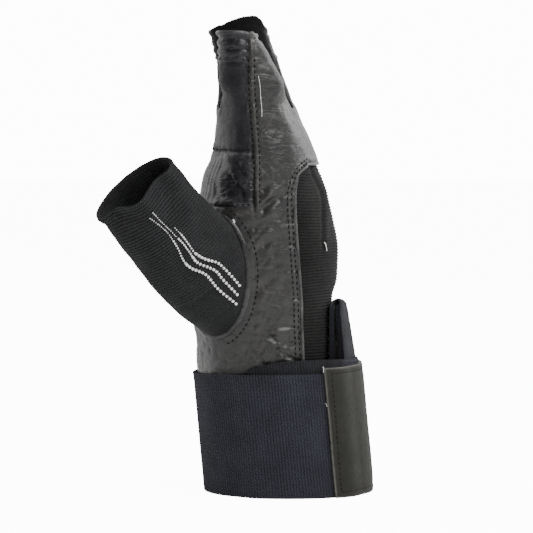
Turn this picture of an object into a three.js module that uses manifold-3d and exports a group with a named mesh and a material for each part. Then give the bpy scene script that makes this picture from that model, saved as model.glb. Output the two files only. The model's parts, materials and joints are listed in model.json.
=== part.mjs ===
// Right-hand weightlifting glove with open finger ends, a knitted thumb and an elastic wrist wrap.
// It stands on the lower rim of the wrap, fingers up. Millimetres.
// +X is the back of the hand, -X the palm, -Y the thumb side, +Y the little finger, +Z the fingers.
// The glove is one skin of quads, cut along its seams into panels. Each panel is a closed wall with
// a small gap to the next one. Tables hold shares of the named sizes that their columns follow.

import * as THREE from 'three';
import { mergeVertices } from 'three/addons/utils/BufferGeometryUtils.js';
import Module from 'manifold-3d';

const wasm = await Module();
wasm.setup();

// Walls and gaps
const LEATHER = 1.6;
const KNIT = 1.5;
const GUSSET = 1.3;
const GUSSET_GAP = 0.7;
const ELASTIC = 1.6;
const LEATHERETTE = 1.5;
const SEAM_GAP = 0.36;
const LAYER_GAP = 0.3;
const CUFF_FIT = 0.4;

// Hand
const CROTCH_HEIGHT = 172;
const HAND_BREADTH = 85.4;
const PALM_DEPTH = 44.5;
const BACK_DEPTH = 25;
const SECTION_POWER = 2.4;
const CUFF_FOOT = 20;
const PAD_SEAM = 128.5;
const GATHER_SEAM = 152.6;
const KNIT_DROP = 5.6;
const KNIT_TOP = GATHER_SEAM - KNIT_DROP;
const SIDE_SEAM_X = -13.4;
const KNIT_CORNER = 48;
const PAD_RIB = 0.9;
const PALM_HOLLOW = 4;
const HOLLOW_NEAR = 70;
const HOLLOW_MIDDLE = 105;
const HOLLOW_FAR = 140;

// Finger stalls
const STALL_POWER = 2.3;
const STALL_SEAM = 36;
const CAP_HEIGHT = 14;
const CAP_WRINKLE = 0.5;
const STALL_ROUNDING = 13;

// Thumb stall
const THUMB_REACH_X = -30.2;
const THUMB_REACH_Y = -22;
const THUMB_REACH_Z = 40;
const THUMB_WIDTH = 38;
const THUMB_DEPTH = 30;
const THUMB_HOLE_HEIGHT = 54;
const THUMB_HOLE_MIDDLE = 98;
const THUMB_HOLE_NEAR = 9;
const THUMB_HOLE_FAR = 73;
const THUMB_ROLL = 38;
const THUMB_DENT = 5;
const THUMB_DENT_TURN = -20;
const THUMB_DENT_SPAN = 22;
const THUMB_DENT_FROM = 0.75;
const THUMB_FULL_AT = 0.6;
const PLUG_DEPTH = 12;
const PLUG_REACH = 0.3;

// Wrist wrap
const WRAP_HEIGHT = 54.6;
const WRAP_INNER_X = 72;
const WRAP_INNER_Y = 77.2;
const WRAP_POWER = 2.2;
const WRAP_FOOT_X = 1.85;
const WRAP_LEAN = -5.1;
const WRAP_START = 19;
const TAB_START = -31;
const TAB_HEIGHT = 57.5;
const TAB_LENGTH = 78;
const TAB_OVERLAP = 6;
const TAB_STEP_FROM = 1.1;
const TAB_STEP_TO = 3;
const WRAP_LAP = 359;
const WRAP_STEP = 14;

// Pull loop at the back of the cuff
const LOOP_WIDTH = 18;
const LOOP_WALL = 2.1;
const LOOP_SPACE = 1.5;
const LOOP_TOP = 86.8;
const LOOP_FOOT = 34;
const LOOP_TURN = -20;
const LOOP_NEAR_Y = -22;
const LOOP_FIT = 0.6;

// Where the widest edges of the hand lie at each height. rise is a share of CROTCH_HEIGHT,
// palm of PALM_DEPTH, back of BACK_DEPTH, thumb_side and little_side of half of HAND_BREADTH.
const HAND_ROWS = [
  { rise: 0.331, palm: 0.876, back: 0.94, thumb_side: 0.895, little_side: 0.895 },
  { rise: 0.384, palm: 0.885, back: 0.93, thumb_side: 0.905, little_side: 0.9 },
  { rise: 0.442, palm: 0.93, back: 0.93, thumb_side: 0.93, little_side: 0.915 },
  { rise: 0.512, palm: 0.978, back: 0.94, thumb_side: 0.955, little_side: 0.93 },
  { rise: 0.581, palm: 1, back: 0.98, thumb_side: 0.975, little_side: 0.95 },
  { rise: 0.64, palm: 0.985, back: 0.99, thumb_side: 0.985, little_side: 0.97 },
  { rise: 0.709, palm: 0.928, back: 0.9, thumb_side: 0.992, little_side: 0.985 },
  { rise: 0.767, palm: 0.856, back: 0.805, thumb_side: 0.998, little_side: 0.995 },
  { rise: 0.826, palm: 0.8, back: 0.72, thumb_side: 1, little_side: 1 },
  { rise: 0.872, palm: 0.715, back: 0.6, thumb_side: 1, little_side: 0.995 },
  { rise: 0.919, palm: 0.694, back: 0.49, thumb_side: 0.995, little_side: 0.985 },
  { rise: 1, palm: 0.67, back: 0.24, thumb_side: 0.985, little_side: 0.965 },
  { rise: 1.058, palm: 0.638, back: 0.056, thumb_side: 0.985, little_side: 0.96 },
  { rise: 1.11, palm: 0.636, back: -0.13, thumb_side: 0.985, little_side: 0.955 },
  { rise: 1.153, palm: 0.647, back: -0.29, thumb_side: 0.985, little_side: 0.955 },
  { rise: 1.198, palm: 0.656, back: -0.48, thumb_side: 0.985, little_side: 0.955 },
  { rise: 1.238, palm: 0.66, back: -0.64, thumb_side: 0.985, little_side: 0.955 },
];

// Edge of the stretch panel on the back. rise is a share of KNIT_TOP, across of BACK_DEPTH.
const KNIT_EDGE = [
  { rise: 0.136, across: 0.36 },
  { rise: 0.422, across: 0.364 },
  { rise: 0.524, across: 0.34 },
  { rise: 0.599, across: 0.33 },
  { rise: 0.803, across: 0.244 },
  { rise: 0.898, across: 0.216 },
  { rise: 0.946, across: 0.24 },
  { rise: 0.976, across: 0.3 },
  { rise: 1, across: 0.48 },
];

// Finger stalls from the thumb side. length is above the crotch, from and to are shares of half of
// HAND_BREADTH, palm_lean of PALM_DEPTH and back_lean of BACK_DEPTH at the rim, and the rim's rises
// are shares of CAP_HEIGHT.
const STALLS = [
  { name: 'index', length: 33.8, from: -0.985, to: -0.534, palm_lean: 0, back_lean: 0, side: 0, back: -0.06 },
  { name: 'middle', length: 34.2, from: -0.464, to: -0.028, palm_lean: 0.08, back_lean: 0.19, side: 0.45, back: 0.24 },
  { name: 'ring', length: 31, from: 0.042, to: 0.478, palm_lean: 0.065, back_lean: 0.14, side: 0.3, back: 0.1 },
  { name: 'little', length: 24, from: 0.548, to: 0.965, palm_lean: 0.05, back_lean: 0.1, side: 0, back: 0 },
];

// Top edge of the wrap along its winding. turn is in whole turns, top a share of WRAP_HEIGHT.
const WRAP_TOP_EDGE = [
  { turn: 0, top: 1.045 },
  { turn: 0.08, top: 1.108 },
  { turn: 0.25, top: 1.1 },
  { turn: 0.5, top: 1.045 },
  { turn: 0.75, top: 0.97 },
  { turn: 1, top: 0.998 },
  { turn: 1.2, top: 1.01 },
];

// Thumb stall from the hand to its rim. wide and deep are shares of half of THUMB_WIDTH and of
// THUMB_DEPTH.
const THUMB_ROWS = [
  { along: 0, wide: 1.25, deep: 1.05 },
  { along: 0.25, wide: 1.17, deep: 1.05 },
  { along: 0.5, wide: 1.07, deep: 1.04 },
  { along: 0.75, wide: 1.02, deep: 1.02 },
  { along: 1, wide: 1, deep: 1 },
];

const FRONT_OUTER_COLUMNS = 8;
const STALL_COLUMNS = 5;
const WALL_COLUMNS = 6;
const KNIT_SIDE_COLUMNS = 3;
const BACK_OUTER_COLUMNS = 3;
const STALL_ROWS = 3;
const CAP_ROWS = 3;
const THUMB_COLUMNS = 24;
const THUMB_STEPS = 9;
const WRAP_COLUMNS_PER_TURN = 48;
const WRAP_LEVELS = 4;
const LOOP_BEND_STEPS = 8;

// Limits that keep the surface functions steady at the ends of their ranges
const WIDEST_SHARE = 0.999;
const MITER_LIMIT = 0.5;
const SAME_HEIGHT = 1e-6;
const WELD_LENGTH = 1e-4;

const radians = THREE.MathUtils.degToRad;
const degrees = THREE.MathUtils.radToDeg;
const mix = THREE.MathUtils.lerp;
const ease = (value, from, to) => THREE.MathUtils.smoothstep(value, from, to);

const colours = {
  leather: { color: 0x34352f, roughness: 0.48 },
  knit: { color: 0x1d1e20, roughness: 0.95 },
  elastic: { color: 0x20212a, roughness: 0.9 },
  leatherette: { color: 0x46463f, roughness: 0.55 },
};

// Smooth value of one column of a table at a place along its key column.
function along(table, key, column, at) {
  const last = table.length - 1;
  if (at <= table[0][key]) return table[0][column];
  if (at >= table[last][key]) return table[last][column];
  const next = table.findIndex((row) => row[key] > at);
  const here = next - 1;
  const slope = (index) => {
    const before = table[Math.max(index - 1, 0)];
    const after = table[Math.min(index + 1, last)];
    return (after[column] - before[column]) / (after[key] - before[key]);
  };
  const span = table[next][key] - table[here][key];
  const t = (at - table[here][key]) / span;
  const start = table[here][column];
  const end = table[next][column];
  return start * (1 + 2 * t) * (1 - t) ** 2 + end * t * t * (3 - 2 * t)
    + span * (slope(here) * t * (1 - t) ** 2 - slope(next) * t * t * (1 - t));
}

const spread = (from, to, steps) => Array.from({ length: steps }, (_, i) => mix(from, to, (i + 1) / steps));

// Middle line of the wrap, which leans towards the palm as it rises.
const wrapMiddle = (z) => WRAP_FOOT_X + WRAP_LEAN * z / WRAP_HEIGHT;

// Half widths of the hand's skin at one height, with its broadest line at x = middle.
function handSection(z) {
  const rise = z / CROTCH_HEIGHT;
  const edge = (column, size) => along(HAND_ROWS, 'rise', column, rise) * size;
  const half = HAND_BREADTH / 2;
  const cuff = 1 - ease(z, WRAP_HEIGHT, WRAP_HEIGHT + CAP_HEIGHT);
  const palmEdge = -edge('palm', PALM_DEPTH);
  const backEdge = edge('back', BACK_DEPTH);
  const cuffPalm = wrapMiddle(z) - WRAP_INNER_X / 2 + CUFF_FIT;
  const cuffSide = WRAP_INNER_Y / 2 - CUFF_FIT;
  const palm = mix(palmEdge, cuffPalm, cuff);
  const middle = mix((palmEdge + backEdge) / 2, wrapMiddle(z), cuff);
  return {
    middle,
    palm: middle - palm,
    back: backEdge - middle,
    thumbSide: mix(edge('thumb_side', half), cuffSide, cuff),
    littleSide: mix(edge('little_side', half), cuffSide, cuff),
    power: mix(SECTION_POWER, WRAP_POWER, cuff),
  };
}

// Point of a rounded section. Angle 0 is the thumb side, 90 the palm, 180 the little finger, 270 the back.
function onSection(section, angle) {
  const s = Math.sin(radians(angle));
  const c = Math.cos(radians(angle));
  const reach = (Math.abs(s) ** section.power + Math.abs(c) ** section.power) ** (-1 / section.power);
  const depth = s > 0 ? section.palm : section.back;
  const breadth = c > 0 ? section.thumbSide : section.littleSide;
  return { x: section.middle - s * reach * depth, y: (section.centre ?? 0) - c * reach * breadth };
}

// Angle off the thumb side at which a section reaches x, positive towards the palm.
function angleAtX(section, x) {
  const palmward = section.middle - x;
  const share = Math.min(Math.abs(palmward) / (palmward > 0 ? section.palm : section.back), WIDEST_SHARE);
  const rest = (1 - share ** section.power) ** (1 / section.power);
  return Math.sign(palmward) * degrees(Math.atan2(share, rest));
}

// Angle at which the palm half of a section reaches y.
function angleAtY(section, y) {
  const share = Math.abs(y) / (y < 0 ? section.thumbSide : section.littleSide);
  const rest = (1 - share ** section.power) ** (1 / section.power);
  const off = degrees(Math.atan2(rest, share));
  return y < 0 ? off : 180 - off;
}

// Dent of the palm between the ball of the thumb and the heel of the hand.
function palmHollow(angle, z) {
  const across = ease(angle, HOLLOW_NEAR, HOLLOW_MIDDLE) * (1 - ease(angle, HOLLOW_MIDDLE, HOLLOW_FAR));
  const up = ease(z, WRAP_HEIGHT, THUMB_HOLE_MIDDLE) * (1 - ease(z, THUMB_HOLE_MIDDLE, PAD_SEAM));
  return PALM_HOLLOW * across * up;
}

function handPoint(angle, z) {
  const spot = onSection(handSection(z), angle);
  return new THREE.Vector3(spot.x + palmHollow(angle, z), spot.y, z);
}

// Angles of the skin's columns at one height, in order from the side seam over the palm and back.
function handColumns(z) {
  const section = handSection(z);
  const crotch = handSection(CROTCH_HEIGHT);
  const half = HAND_BREADTH / 2;
  const seam = angleAtX(section, SIDE_SEAM_X);
  const knitX = along(KNIT_EDGE, 'rise', 'across', z / KNIT_TOP) * BACK_DEPTH;
  const knit = Math.min(-angleAtX(section, knitX), KNIT_CORNER);
  const webs = STALLS.slice(0, -1).map((stall, i) => [
    angleAtY(crotch, stall.to * half),
    angleAtY(crotch, STALLS[i + 1].from * half),
  ]);
  const stops = [{ at: seam }];
  const stop = (at, columns) => stops.push({ at, columns });
  webs.forEach(([near, far], i) => {
    stop(near, i ? STALL_COLUMNS : FRONT_OUTER_COLUMNS);
    stop(far, 1);
  });
  stop(180 - seam, FRONT_OUTER_COLUMNS);
  stop(180 + knit, KNIT_SIDE_COLUMNS);
  [...webs].reverse().forEach(([near, far], i) => {
    stop(360 - far, i ? STALL_COLUMNS : BACK_OUTER_COLUMNS);
    stop(360 - near, 1);
  });
  stop(360 - knit, BACK_OUTER_COLUMNS);
  stop(360 + seam, KNIT_SIDE_COLUMNS);
  const angles = [seam];
  stops.slice(1).forEach(({ at, columns }, i) => angles.push(...spread(stops[i].at, at, columns)));
  angles.pop();
  return angles;
}

// Columns at which the parts of the skin meet.
const FRONT_COLUMNS = 2 * FRONT_OUTER_COLUMNS + 2 * STALL_COLUMNS + 3;
const KNIT_FROM = FRONT_COLUMNS + KNIT_SIDE_COLUMNS;
const KNIT_TO = KNIT_FROM + 2 * BACK_OUTER_COLUMNS + 2 * STALL_COLUMNS + 3;
const ALL_COLUMNS = KNIT_TO + KNIT_SIDE_COLUMNS;
const frontOf = (stall) => stall ? FRONT_OUTER_COLUMNS + 1 + (stall - 1) * (STALL_COLUMNS + 1) : 0;
const outerStall = (stall) => stall === 0 || stall === STALLS.length - 1;
const frontCount = (stall) => outerStall(stall) ? FRONT_OUTER_COLUMNS : STALL_COLUMNS;
const backCount = (stall) => outerStall(stall) ? BACK_OUTER_COLUMNS + KNIT_SIDE_COLUMNS : STALL_COLUMNS;
function backOf(stall) {
  if (stall === STALLS.length - 1) return FRONT_COLUMNS;
  const passed = STALLS.length - 2 - stall;
  return KNIT_FROM + BACK_OUTER_COLUMNS + 1 + passed * (STALL_COLUMNS + 1);
}

const trunkHeights = [
  CUFF_FOOT,
  ...spread(CUFF_FOOT, WRAP_HEIGHT, 3),
  ...spread(WRAP_HEIGHT, PAD_SEAM, 6),
  ...spread(PAD_SEAM, KNIT_TOP, 3),
  GATHER_SEAM,
  ...spread(GATHER_SEAM, CROTCH_HEIGHT, 3),
];
const rowOf = (z) => trunkHeights.findIndex((height) => Math.abs(height - z) < SAME_HEIGHT);

const points = [];
const quads = [];
const addPoint = (point) => points.push(point) - 1;
const addQuad = (panel, a, b, c, d) => quads.push({ panel, corners: [d, c, b, a] });

function trunkPanel(column, row) {
  const front = column < FRONT_COLUMNS;
  if (column >= KNIT_FROM && column < KNIT_TO && row < rowOf(KNIT_TOP)) return 'back_knit';
  if (!front || row < rowOf(PAD_SEAM)) return 'hand_leather';
  return row < rowOf(GATHER_SEAM) ? 'palm_pad' : 'finger_fronts';
}

// The hand below the crotch, one ring of points for each height.
const trunk = trunkHeights.map((z) => handColumns(z).map((angle) => addPoint(handPoint(angle, z))));
for (let row = 0; row < trunk.length - 1; row += 1) {
  for (let column = 0; column < ALL_COLUMNS; column += 1) {
    const next = (column + 1) % ALL_COLUMNS;
    addQuad(trunkPanel(column, row), trunk[row][column], trunk[row][next],
      trunk[row + 1][next], trunk[row + 1][column]);
  }
}

// Own round section of one finger stall at a share of its length.
function stallSection(stall, share) {
  const z = CROTCH_HEIGHT + stall.length * share;
  const hand = handSection(z);
  const palm = hand.middle - hand.palm - stall.palm_lean * PALM_DEPTH * share * share;
  const back = hand.middle + hand.back + stall.back_lean * BACK_DEPTH * share * share;
  const half = (stall.to - stall.from) * HAND_BREADTH / 4;
  return {
    middle: (palm + back) / 2,
    palm: (back - palm) / 2,
    back: (back - palm) / 2,
    thumbSide: half,
    littleSide: half,
    centre: (stall.to + stall.from) * HAND_BREADTH / 4,
    power: STALL_POWER,
  };
}

// Angles of a stall's own columns: palm side, far wall, back, near wall.
function stallAngles(index, section) {
  const seam = angleAtX(section, SIDE_SEAM_X);
  const last = STALLS.length - 1;
  const start = index ? STALL_SEAM : seam;
  const front = 180 - (index === last ? seam : STALL_SEAM);
  const farWall = index === last ? front : 180 + STALL_SEAM;
  const back = 360 + (index ? -STALL_SEAM : seam);
  const angles = [start, ...spread(start, front, frontCount(index))];
  if (index < last) angles.push(...spread(front, farWall, WALL_COLUMNS));
  angles.push(...spread(farWall, back, backCount(index)));
  if (index) angles.push(...spread(back, 360 + start, WALL_COLUMNS));
  angles.pop();
  return angles;
}

const ring = (ids, index) => ids[((index % ids.length) + ids.length) % ids.length];
const crotchRing = trunk[trunk.length - 1];

// Points of the crotch that a stall stands on: its share of the skin and a straight line for each web.
function stallFoot(index) {
  const front = Array.from({ length: frontCount(index) + 1 }, (_, i) => ring(crotchRing, frontOf(index) + i));
  const back = Array.from({ length: backCount(index) + 1 }, (_, i) => ring(crotchRing, backOf(index) + i));
  const wall = (from, to) => spread(0, 1, WALL_COLUMNS).slice(0, -1)
    .map((t) => addPoint(points[from].clone().lerp(points[to], t)));
  const farWall = index < STALLS.length - 1 ? wall(front.at(-1), back[0]) : [];
  const nearWall = index ? wall(back.at(-1), front[0]) : [];
  const joined = [...front, ...farWall, ...(farWall.length ? back : back.slice(1)), ...nearWall];
  if (!index) joined.pop();
  return { joined, farWall, nearWall, front, back };
}

// Raises the rim of a stall at its sides and back.
function rimRise(stall, angle, share) {
  const side = Math.abs(Math.cos(radians(angle))) * stall.side;
  const back = Math.max(-Math.sin(radians(angle)), 0) * stall.back;
  return CAP_HEIGHT * (side + back) * share ** 3;
}

function stallPanel(index, column, row) {
  const fronts = frontCount(index);
  const farWall = index < STALLS.length - 1 ? WALL_COLUMNS : 0;
  const names = STALLS.map((stall) => stall.name);
  if (column < fronts) return row < STALL_ROWS ? 'finger_fronts' : `${names[index]}_cap`;
  if (column < fronts + farWall) return `${names[index]}_${names[index + 1]}_gusset`;
  if (column < fronts + farWall + backCount(index)) return 'hand_leather';
  return `${names[index - 1]}_${names[index]}_gusset`;
}

const feet = STALLS.map((stall, index) => {
  const foot = stallFoot(index);
  const capShare = 1 - CAP_HEIGHT / stall.length;
  const shares = [...spread(0, capShare, STALL_ROWS), ...spread(capShare, 1, CAP_ROWS)];
  let below = foot.joined;
  shares.forEach((share, row) => {
    const section = stallSection(stall, share);
    const angles = stallAngles(index, section);
    const own = ease(share * stall.length, 0, STALL_ROUNDING);
    const ids = angles.map((angle, column) => {
      const round = onSection(section, angle);
      const z = CROTCH_HEIGHT + stall.length * share + rimRise(stall, angle, share);
      const start = points[foot.joined[column]];
      const hand = handSection(z);
      const crotch = handSection(CROTCH_HEIGHT);
      const depthShare = (hand.palm + hand.back) / (crotch.palm + crotch.back);
      const x = hand.middle + (start.x - crotch.middle) * depthShare;
      return addPoint(new THREE.Vector3(mix(x, round.x, own), mix(start.y, round.y, own), z));
    });
    ids.forEach((id, column) => {
      const next = (column + 1) % ids.length;
      addQuad(stallPanel(index, column, row), below[column], below[next], ids[next], id);
    });
    below = ids;
  });
  return foot;
});

// The webs between the stalls, from the palm to the back.
for (let index = 0; index < STALLS.length - 1; index += 1) {
  const near = [feet[index].front.at(-1), ...feet[index].farWall, feet[index].back[0]];
  const far = [feet[index + 1].front[0], ...[...feet[index + 1].nearWall].reverse(), feet[index + 1].back.at(-1)];
  for (let i = 0; i < near.length - 1; i += 1) {
    const panel = `${STALLS[index].name}_${STALLS[index + 1].name}_gusset`;
    addQuad(panel, near[i], far[i], far[i + 1], near[i + 1]);
  }
}

// Outward normals of the whole skin, so that neighbouring panels are offset alike.
function skinNormals() {
  const normals = points.map(() => new THREE.Vector3());
  quads.forEach(({ corners }) => {
    const [a, b, c, d] = corners.map((id) => points[id]);
    const normal = c.clone().sub(a).cross(d.clone().sub(b));
    corners.forEach((id) => normals[id].add(normal));
  });
  normals.forEach((normal) => normal.normalize());
  return normals;
}

// Ribs of the palm pad and wrinkles of the finger caps, as small moves along the normals.
function addRelief() {
  const normals = skinNormals();
  for (let row = rowOf(PAD_SEAM) + 1; row < rowOf(GATHER_SEAM); row += 1) {
    for (let column = 1; column < FRONT_COLUMNS; column += 1) {
      const id = trunk[row][column];
      points[id].addScaledVector(normals[id], column % 2 ? PAD_RIB : -PAD_RIB / 2);
    }
  }
  const capRows = new Map();
  quads.filter(({ panel }) => panel.endsWith('_cap')).forEach(({ panel, corners }) => {
    corners.slice(0, 2).forEach((id) => capRows.set(id, panel));
  });
  [...capRows.keys()].forEach((id) => {
    const level = Math.round(points[id].z * STALL_ROWS / CAP_HEIGHT) % 2;
    points[id].addScaledVector(normals[id], level ? CAP_WRINKLE : -CAP_WRINKLE);
  });
}

// Closed wall over some quads of a mesh, pulled back from its edges by half of the seam gap.
function wallOver(vertices, normals, cells, wall, gap) {
  const uses = new Map();
  cells.forEach(({ corners }) => corners.forEach((from, i) => {
    const to = corners[(i + 1) % corners.length];
    uses.set(`${from}_${to}`, [from, to]);
  }));
  const edges = [...uses.values()].filter(([from, to]) => !uses.has(`${to}_${from}`));
  const inward = new Map();
  edges.forEach(([from, to]) => {
    const run = vertices[to].clone().sub(vertices[from]).normalize();
    [from, to].forEach((id) => {
      const pull = normals[id].clone().cross(run).normalize();
      inward.set(id, [...(inward.get(id) ?? []), pull]);
    });
  });
  const order = new Map();
  const outer = [];
  const inner = [];
  cells.forEach(({ corners }) => corners.forEach((id) => {
    if (order.has(id)) return;
    order.set(id, order.size);
    const place = vertices[id].clone();
    const pulls = inward.get(id) ?? [];
    if (pulls.length) {
      const sum = pulls.reduce((total, pull) => total.add(pull), new THREE.Vector3());
      const miter = Math.max(sum.length() / pulls.length, MITER_LIMIT);
      place.addScaledVector(sum.normalize(), gap / 2 / miter);
    }
    outer.push(place);
    inner.push(place.clone().addScaledVector(normals[id], -wall));
  }));
  const count = order.size;
  const triangles = [];
  cells.forEach(({ corners }) => {
    const [a, b, c, d] = corners.map((id) => order.get(id));
    triangles.push([a, b, c], [a, c, d]);
    triangles.push([a + count, c + count, b + count], [a + count, d + count, c + count]);
  });
  edges.forEach(([from, to]) => {
    const a = order.get(from);
    const b = order.get(to);
    triangles.push([b, a, a + count], [b, a + count, b + count]);
  });
  return { vertices: [...outer, ...inner], triangles };
}

function toGeometry({ vertices, triangles }) {
  const geometry = new THREE.BufferGeometry();
  geometry.setAttribute('position', new THREE.Float32BufferAttribute(vertices.flatMap((v) => v.toArray()), 3));
  geometry.setIndex(triangles.flat());
  return geometry;
}

function toManifold(geometry) {
  const bare = geometry.clone();
  bare.deleteAttribute('normal');
  bare.deleteAttribute('uv');
  const merged = mergeVertices(bare, WELD_LENGTH);
  return new wasm.Manifold(new wasm.Mesh({
    numProp: 3,
    vertProperties: new Float32Array(merged.attributes.position.array),
    triVerts: new Uint32Array(merged.index.array),
  }));
}

function fromManifold(solid) {
  const { vertProperties, triVerts } = solid.getMesh();
  const geometry = new THREE.BufferGeometry();
  geometry.setAttribute('position', new THREE.Float32BufferAttribute(Array.from(vertProperties), 3));
  geometry.setIndex(Array.from(triVerts));
  return geometry;
}

const glove = new THREE.Group();
glove.name = 'weightlifting_glove';

function place(name, geometry, finish) {
  geometry.computeVertexNormals();
  const material = new THREE.MeshStandardMaterial({ ...colours[finish], metalness: 0 });
  const mesh = new THREE.Mesh(geometry, material);
  mesh.name = name;
  glove.add(mesh);
}

// Edge of the thumb hole on the skin. Turn 0 is the thumb side, 90 the fingers' side.
function holeEdge(turn, grow) {
  const middle = (THUMB_HOLE_NEAR + THUMB_HOLE_FAR) / 2;
  const reach = (THUMB_HOLE_FAR - THUMB_HOLE_NEAR) / 2;
  const perDegree = radians(1) * (HAND_BREADTH + PALM_DEPTH) / 4;
  const angle = middle - Math.cos(radians(turn)) * (reach + grow / perDegree);
  const z = THUMB_HOLE_MIDDLE + Math.sin(radians(turn)) * (THUMB_HOLE_HEIGHT / 2 + grow);
  return { place: handPoint(angle, z), out: skinOut(angle, z) };
}

function skinOut(angle, z) {
  const step = 1;
  const across = handPoint(angle + step, z).sub(handPoint(angle - step, z));
  const up = handPoint(angle, z + step).sub(handPoint(angle, z - step));
  return up.cross(across).normalize();
}

const thumbFoot = handPoint((THUMB_HOLE_NEAR + THUMB_HOLE_FAR) / 2, THUMB_HOLE_MIDDLE);
const thumbReach = new THREE.Vector3(THUMB_REACH_X, THUMB_REACH_Y, THUMB_REACH_Z);
const thumbAxis = thumbReach.clone().normalize();
const thumbWide = new THREE.Vector3(Math.cos(radians(THUMB_ROLL)), 0, Math.sin(radians(THUMB_ROLL)));
thumbWide.addScaledVector(thumbAxis, -thumbWide.dot(thumbAxis)).normalize();
const thumbDeep = thumbAxis.clone().cross(thumbWide).normalize();

// Outer skin of the thumb stall: the hole's edge at 0, turning into an oval at its rim at 1.
function thumbPoint(share, turn) {
  const wide = along(THUMB_ROWS, 'along', 'wide', share) * THUMB_WIDTH / 2;
  const deep = along(THUMB_ROWS, 'along', 'deep', share) * THUMB_DEPTH / 2;
  const s = Math.sin(radians(turn));
  const c = Math.cos(radians(turn));
  const oval = (at, w, d) => thumbFoot.clone().addScaledVector(thumbReach, at)
    .addScaledVector(thumbWide, s * w).addScaledVector(thumbDeep, -c * d);
  const rim = oval(1, THUMB_WIDTH / 2, THUMB_DEPTH / 2);
  const ruled = holeEdge(turn, -SEAM_GAP).place.lerp(rim, share);
  const fullness = ease(share, 0, THUMB_FULL_AT) * (1 - Math.max(s, 0));
  const point = ruled.lerp(oval(share, wide, deep), fullness);
  const nearDent = Math.exp(-(((turn - THUMB_DENT_TURN) / THUMB_DENT_SPAN) ** 2));
  return point.addScaledVector(thumbDeep, ease(share, THUMB_DENT_FROM, 1) * nearDent * THUMB_DENT);
}

function thumbStall() {
  const grid = Array.from({ length: THUMB_STEPS + 1 }, (_, row) => Array.from(
    { length: THUMB_COLUMNS },
    (_unused, column) => thumbPoint(row / THUMB_STEPS, 360 * column / THUMB_COLUMNS - 180),
  ));
  return sheet(grid, KNIT, true);
}

// Closed wall over a grid of points, rows by columns. Closed grids join their last and first columns,
// and an upright wall has level rims.
function sheet(grid, wall, closed, upright = false) {
  const columns = grid[0].length;
  const vertices = grid.flat();
  const cells = [];
  for (let row = 0; row < grid.length - 1; row += 1) {
    for (let column = 0; column < columns - (closed ? 0 : 1); column += 1) {
      const next = (column + 1) % columns;
      const low = row * columns;
      const high = low + columns;
      cells.push({ corners: [low + column, low + next, high + next, high + column] });
    }
  }
  const normals = vertices.map(() => new THREE.Vector3());
  cells.forEach(({ corners }) => {
    const [a, b, c, d] = corners.map((id) => vertices[id]);
    const normal = c.clone().sub(a).cross(d.clone().sub(b));
    corners.forEach((id) => normals[id].add(normal));
  });
  if (upright) normals.forEach((normal) => normal.setZ(0));
  normals.forEach((normal) => normal.normalize());
  return toGeometry(wallOver(vertices, normals, cells, wall, 0));
}

// Cutter for the thumb hole: a plug through the leather that runs out along the thumb stall's wall.
function holePlug() {
  const turns = Array.from({ length: THUMB_COLUMNS }, (_, i) => 360 * i / THUMB_COLUMNS);
  const edges = turns.map((turn) => ({ turn, ...holeEdge(turn, 0) }));
  const rings = [
    edges.map(({ place: spot, out }) => spot.clone().addScaledVector(out, -PLUG_DEPTH)),
    edges.map(({ place: spot }) => spot),
    edges.map(({ turn, place: spot }) => spot.clone().add(thumbPoint(PLUG_REACH, turn)).sub(thumbPoint(0, turn))),
  ];
  const centre = (spots) => spots.reduce((sum, p) => sum.add(p), new THREE.Vector3()).divideScalar(spots.length);
  const vertices = [...rings.flat(), centre(rings[0]), centre(rings[2])];
  const count = turns.length;
  const triangles = [];
  for (let i = 0; i < count; i += 1) {
    const next = (i + 1) % count;
    triangles.push([next, i, 3 * count], [i + 2 * count, next + 2 * count, 3 * count + 1]);
    [0, count].forEach((low) => {
      triangles.push([i + low, next + low, next + low + count]);
      triangles.push([i + low, next + low + count, i + low + count]);
    });
  }
  return { vertices, triangles };
}

function outwards(solidMesh) {
  const solid = toManifold(toGeometry(solidMesh));
  if (solid.volume() > 0) return solid;
  const turned = solidMesh.triangles.map(([a, b, c]) => [a, c, b]);
  return toManifold(toGeometry({ vertices: solidMesh.vertices, triangles: turned }));
}

// Inner face of the wrap at an angle, pushed out by some layers.
function wrapPoint(angle, z, out) {
  const section = {
    middle: wrapMiddle(z),
    palm: WRAP_INNER_X / 2 + out,
    back: WRAP_INNER_X / 2 + out,
    thumbSide: WRAP_INNER_Y / 2 + out,
    littleSide: WRAP_INNER_Y / 2 + out,
    power: WRAP_POWER,
  };
  const spot = onSection(section, angle);
  return new THREE.Vector3(spot.x, spot.y, z);
}

const wrapLength = Math.PI * (WRAP_INNER_X + WRAP_INNER_Y) / 2;
const degreesFor = (length) => 360 * length / wrapLength;

// The band winds from under itself at the thumb side, round the back and palm, to the closure tab.
function wristWrap() {
  const end = 360 + WRAP_START - TAB_START + degreesFor(TAB_OVERLAP);
  const columns = Math.round(WRAP_COLUMNS_PER_TURN * end / 360);
  const lift = ELASTIC + LAYER_GAP;
  const grid = Array.from({ length: WRAP_LEVELS + 1 }, (_, level) => Array.from(
    { length: columns + 1 },
    (_unused, column) => {
      const swept = end * column / columns;
      const top = along(WRAP_TOP_EDGE, 'turn', 'top', swept / 360) * WRAP_HEIGHT;
      const out = ELASTIC + lift * ease(swept, WRAP_LAP - WRAP_STEP, WRAP_LAP);
      return wrapPoint(WRAP_START - swept, top * level / WRAP_LEVELS, out);
    },
  ));
  return sheet(grid, ELASTIC, false, true);
}

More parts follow.
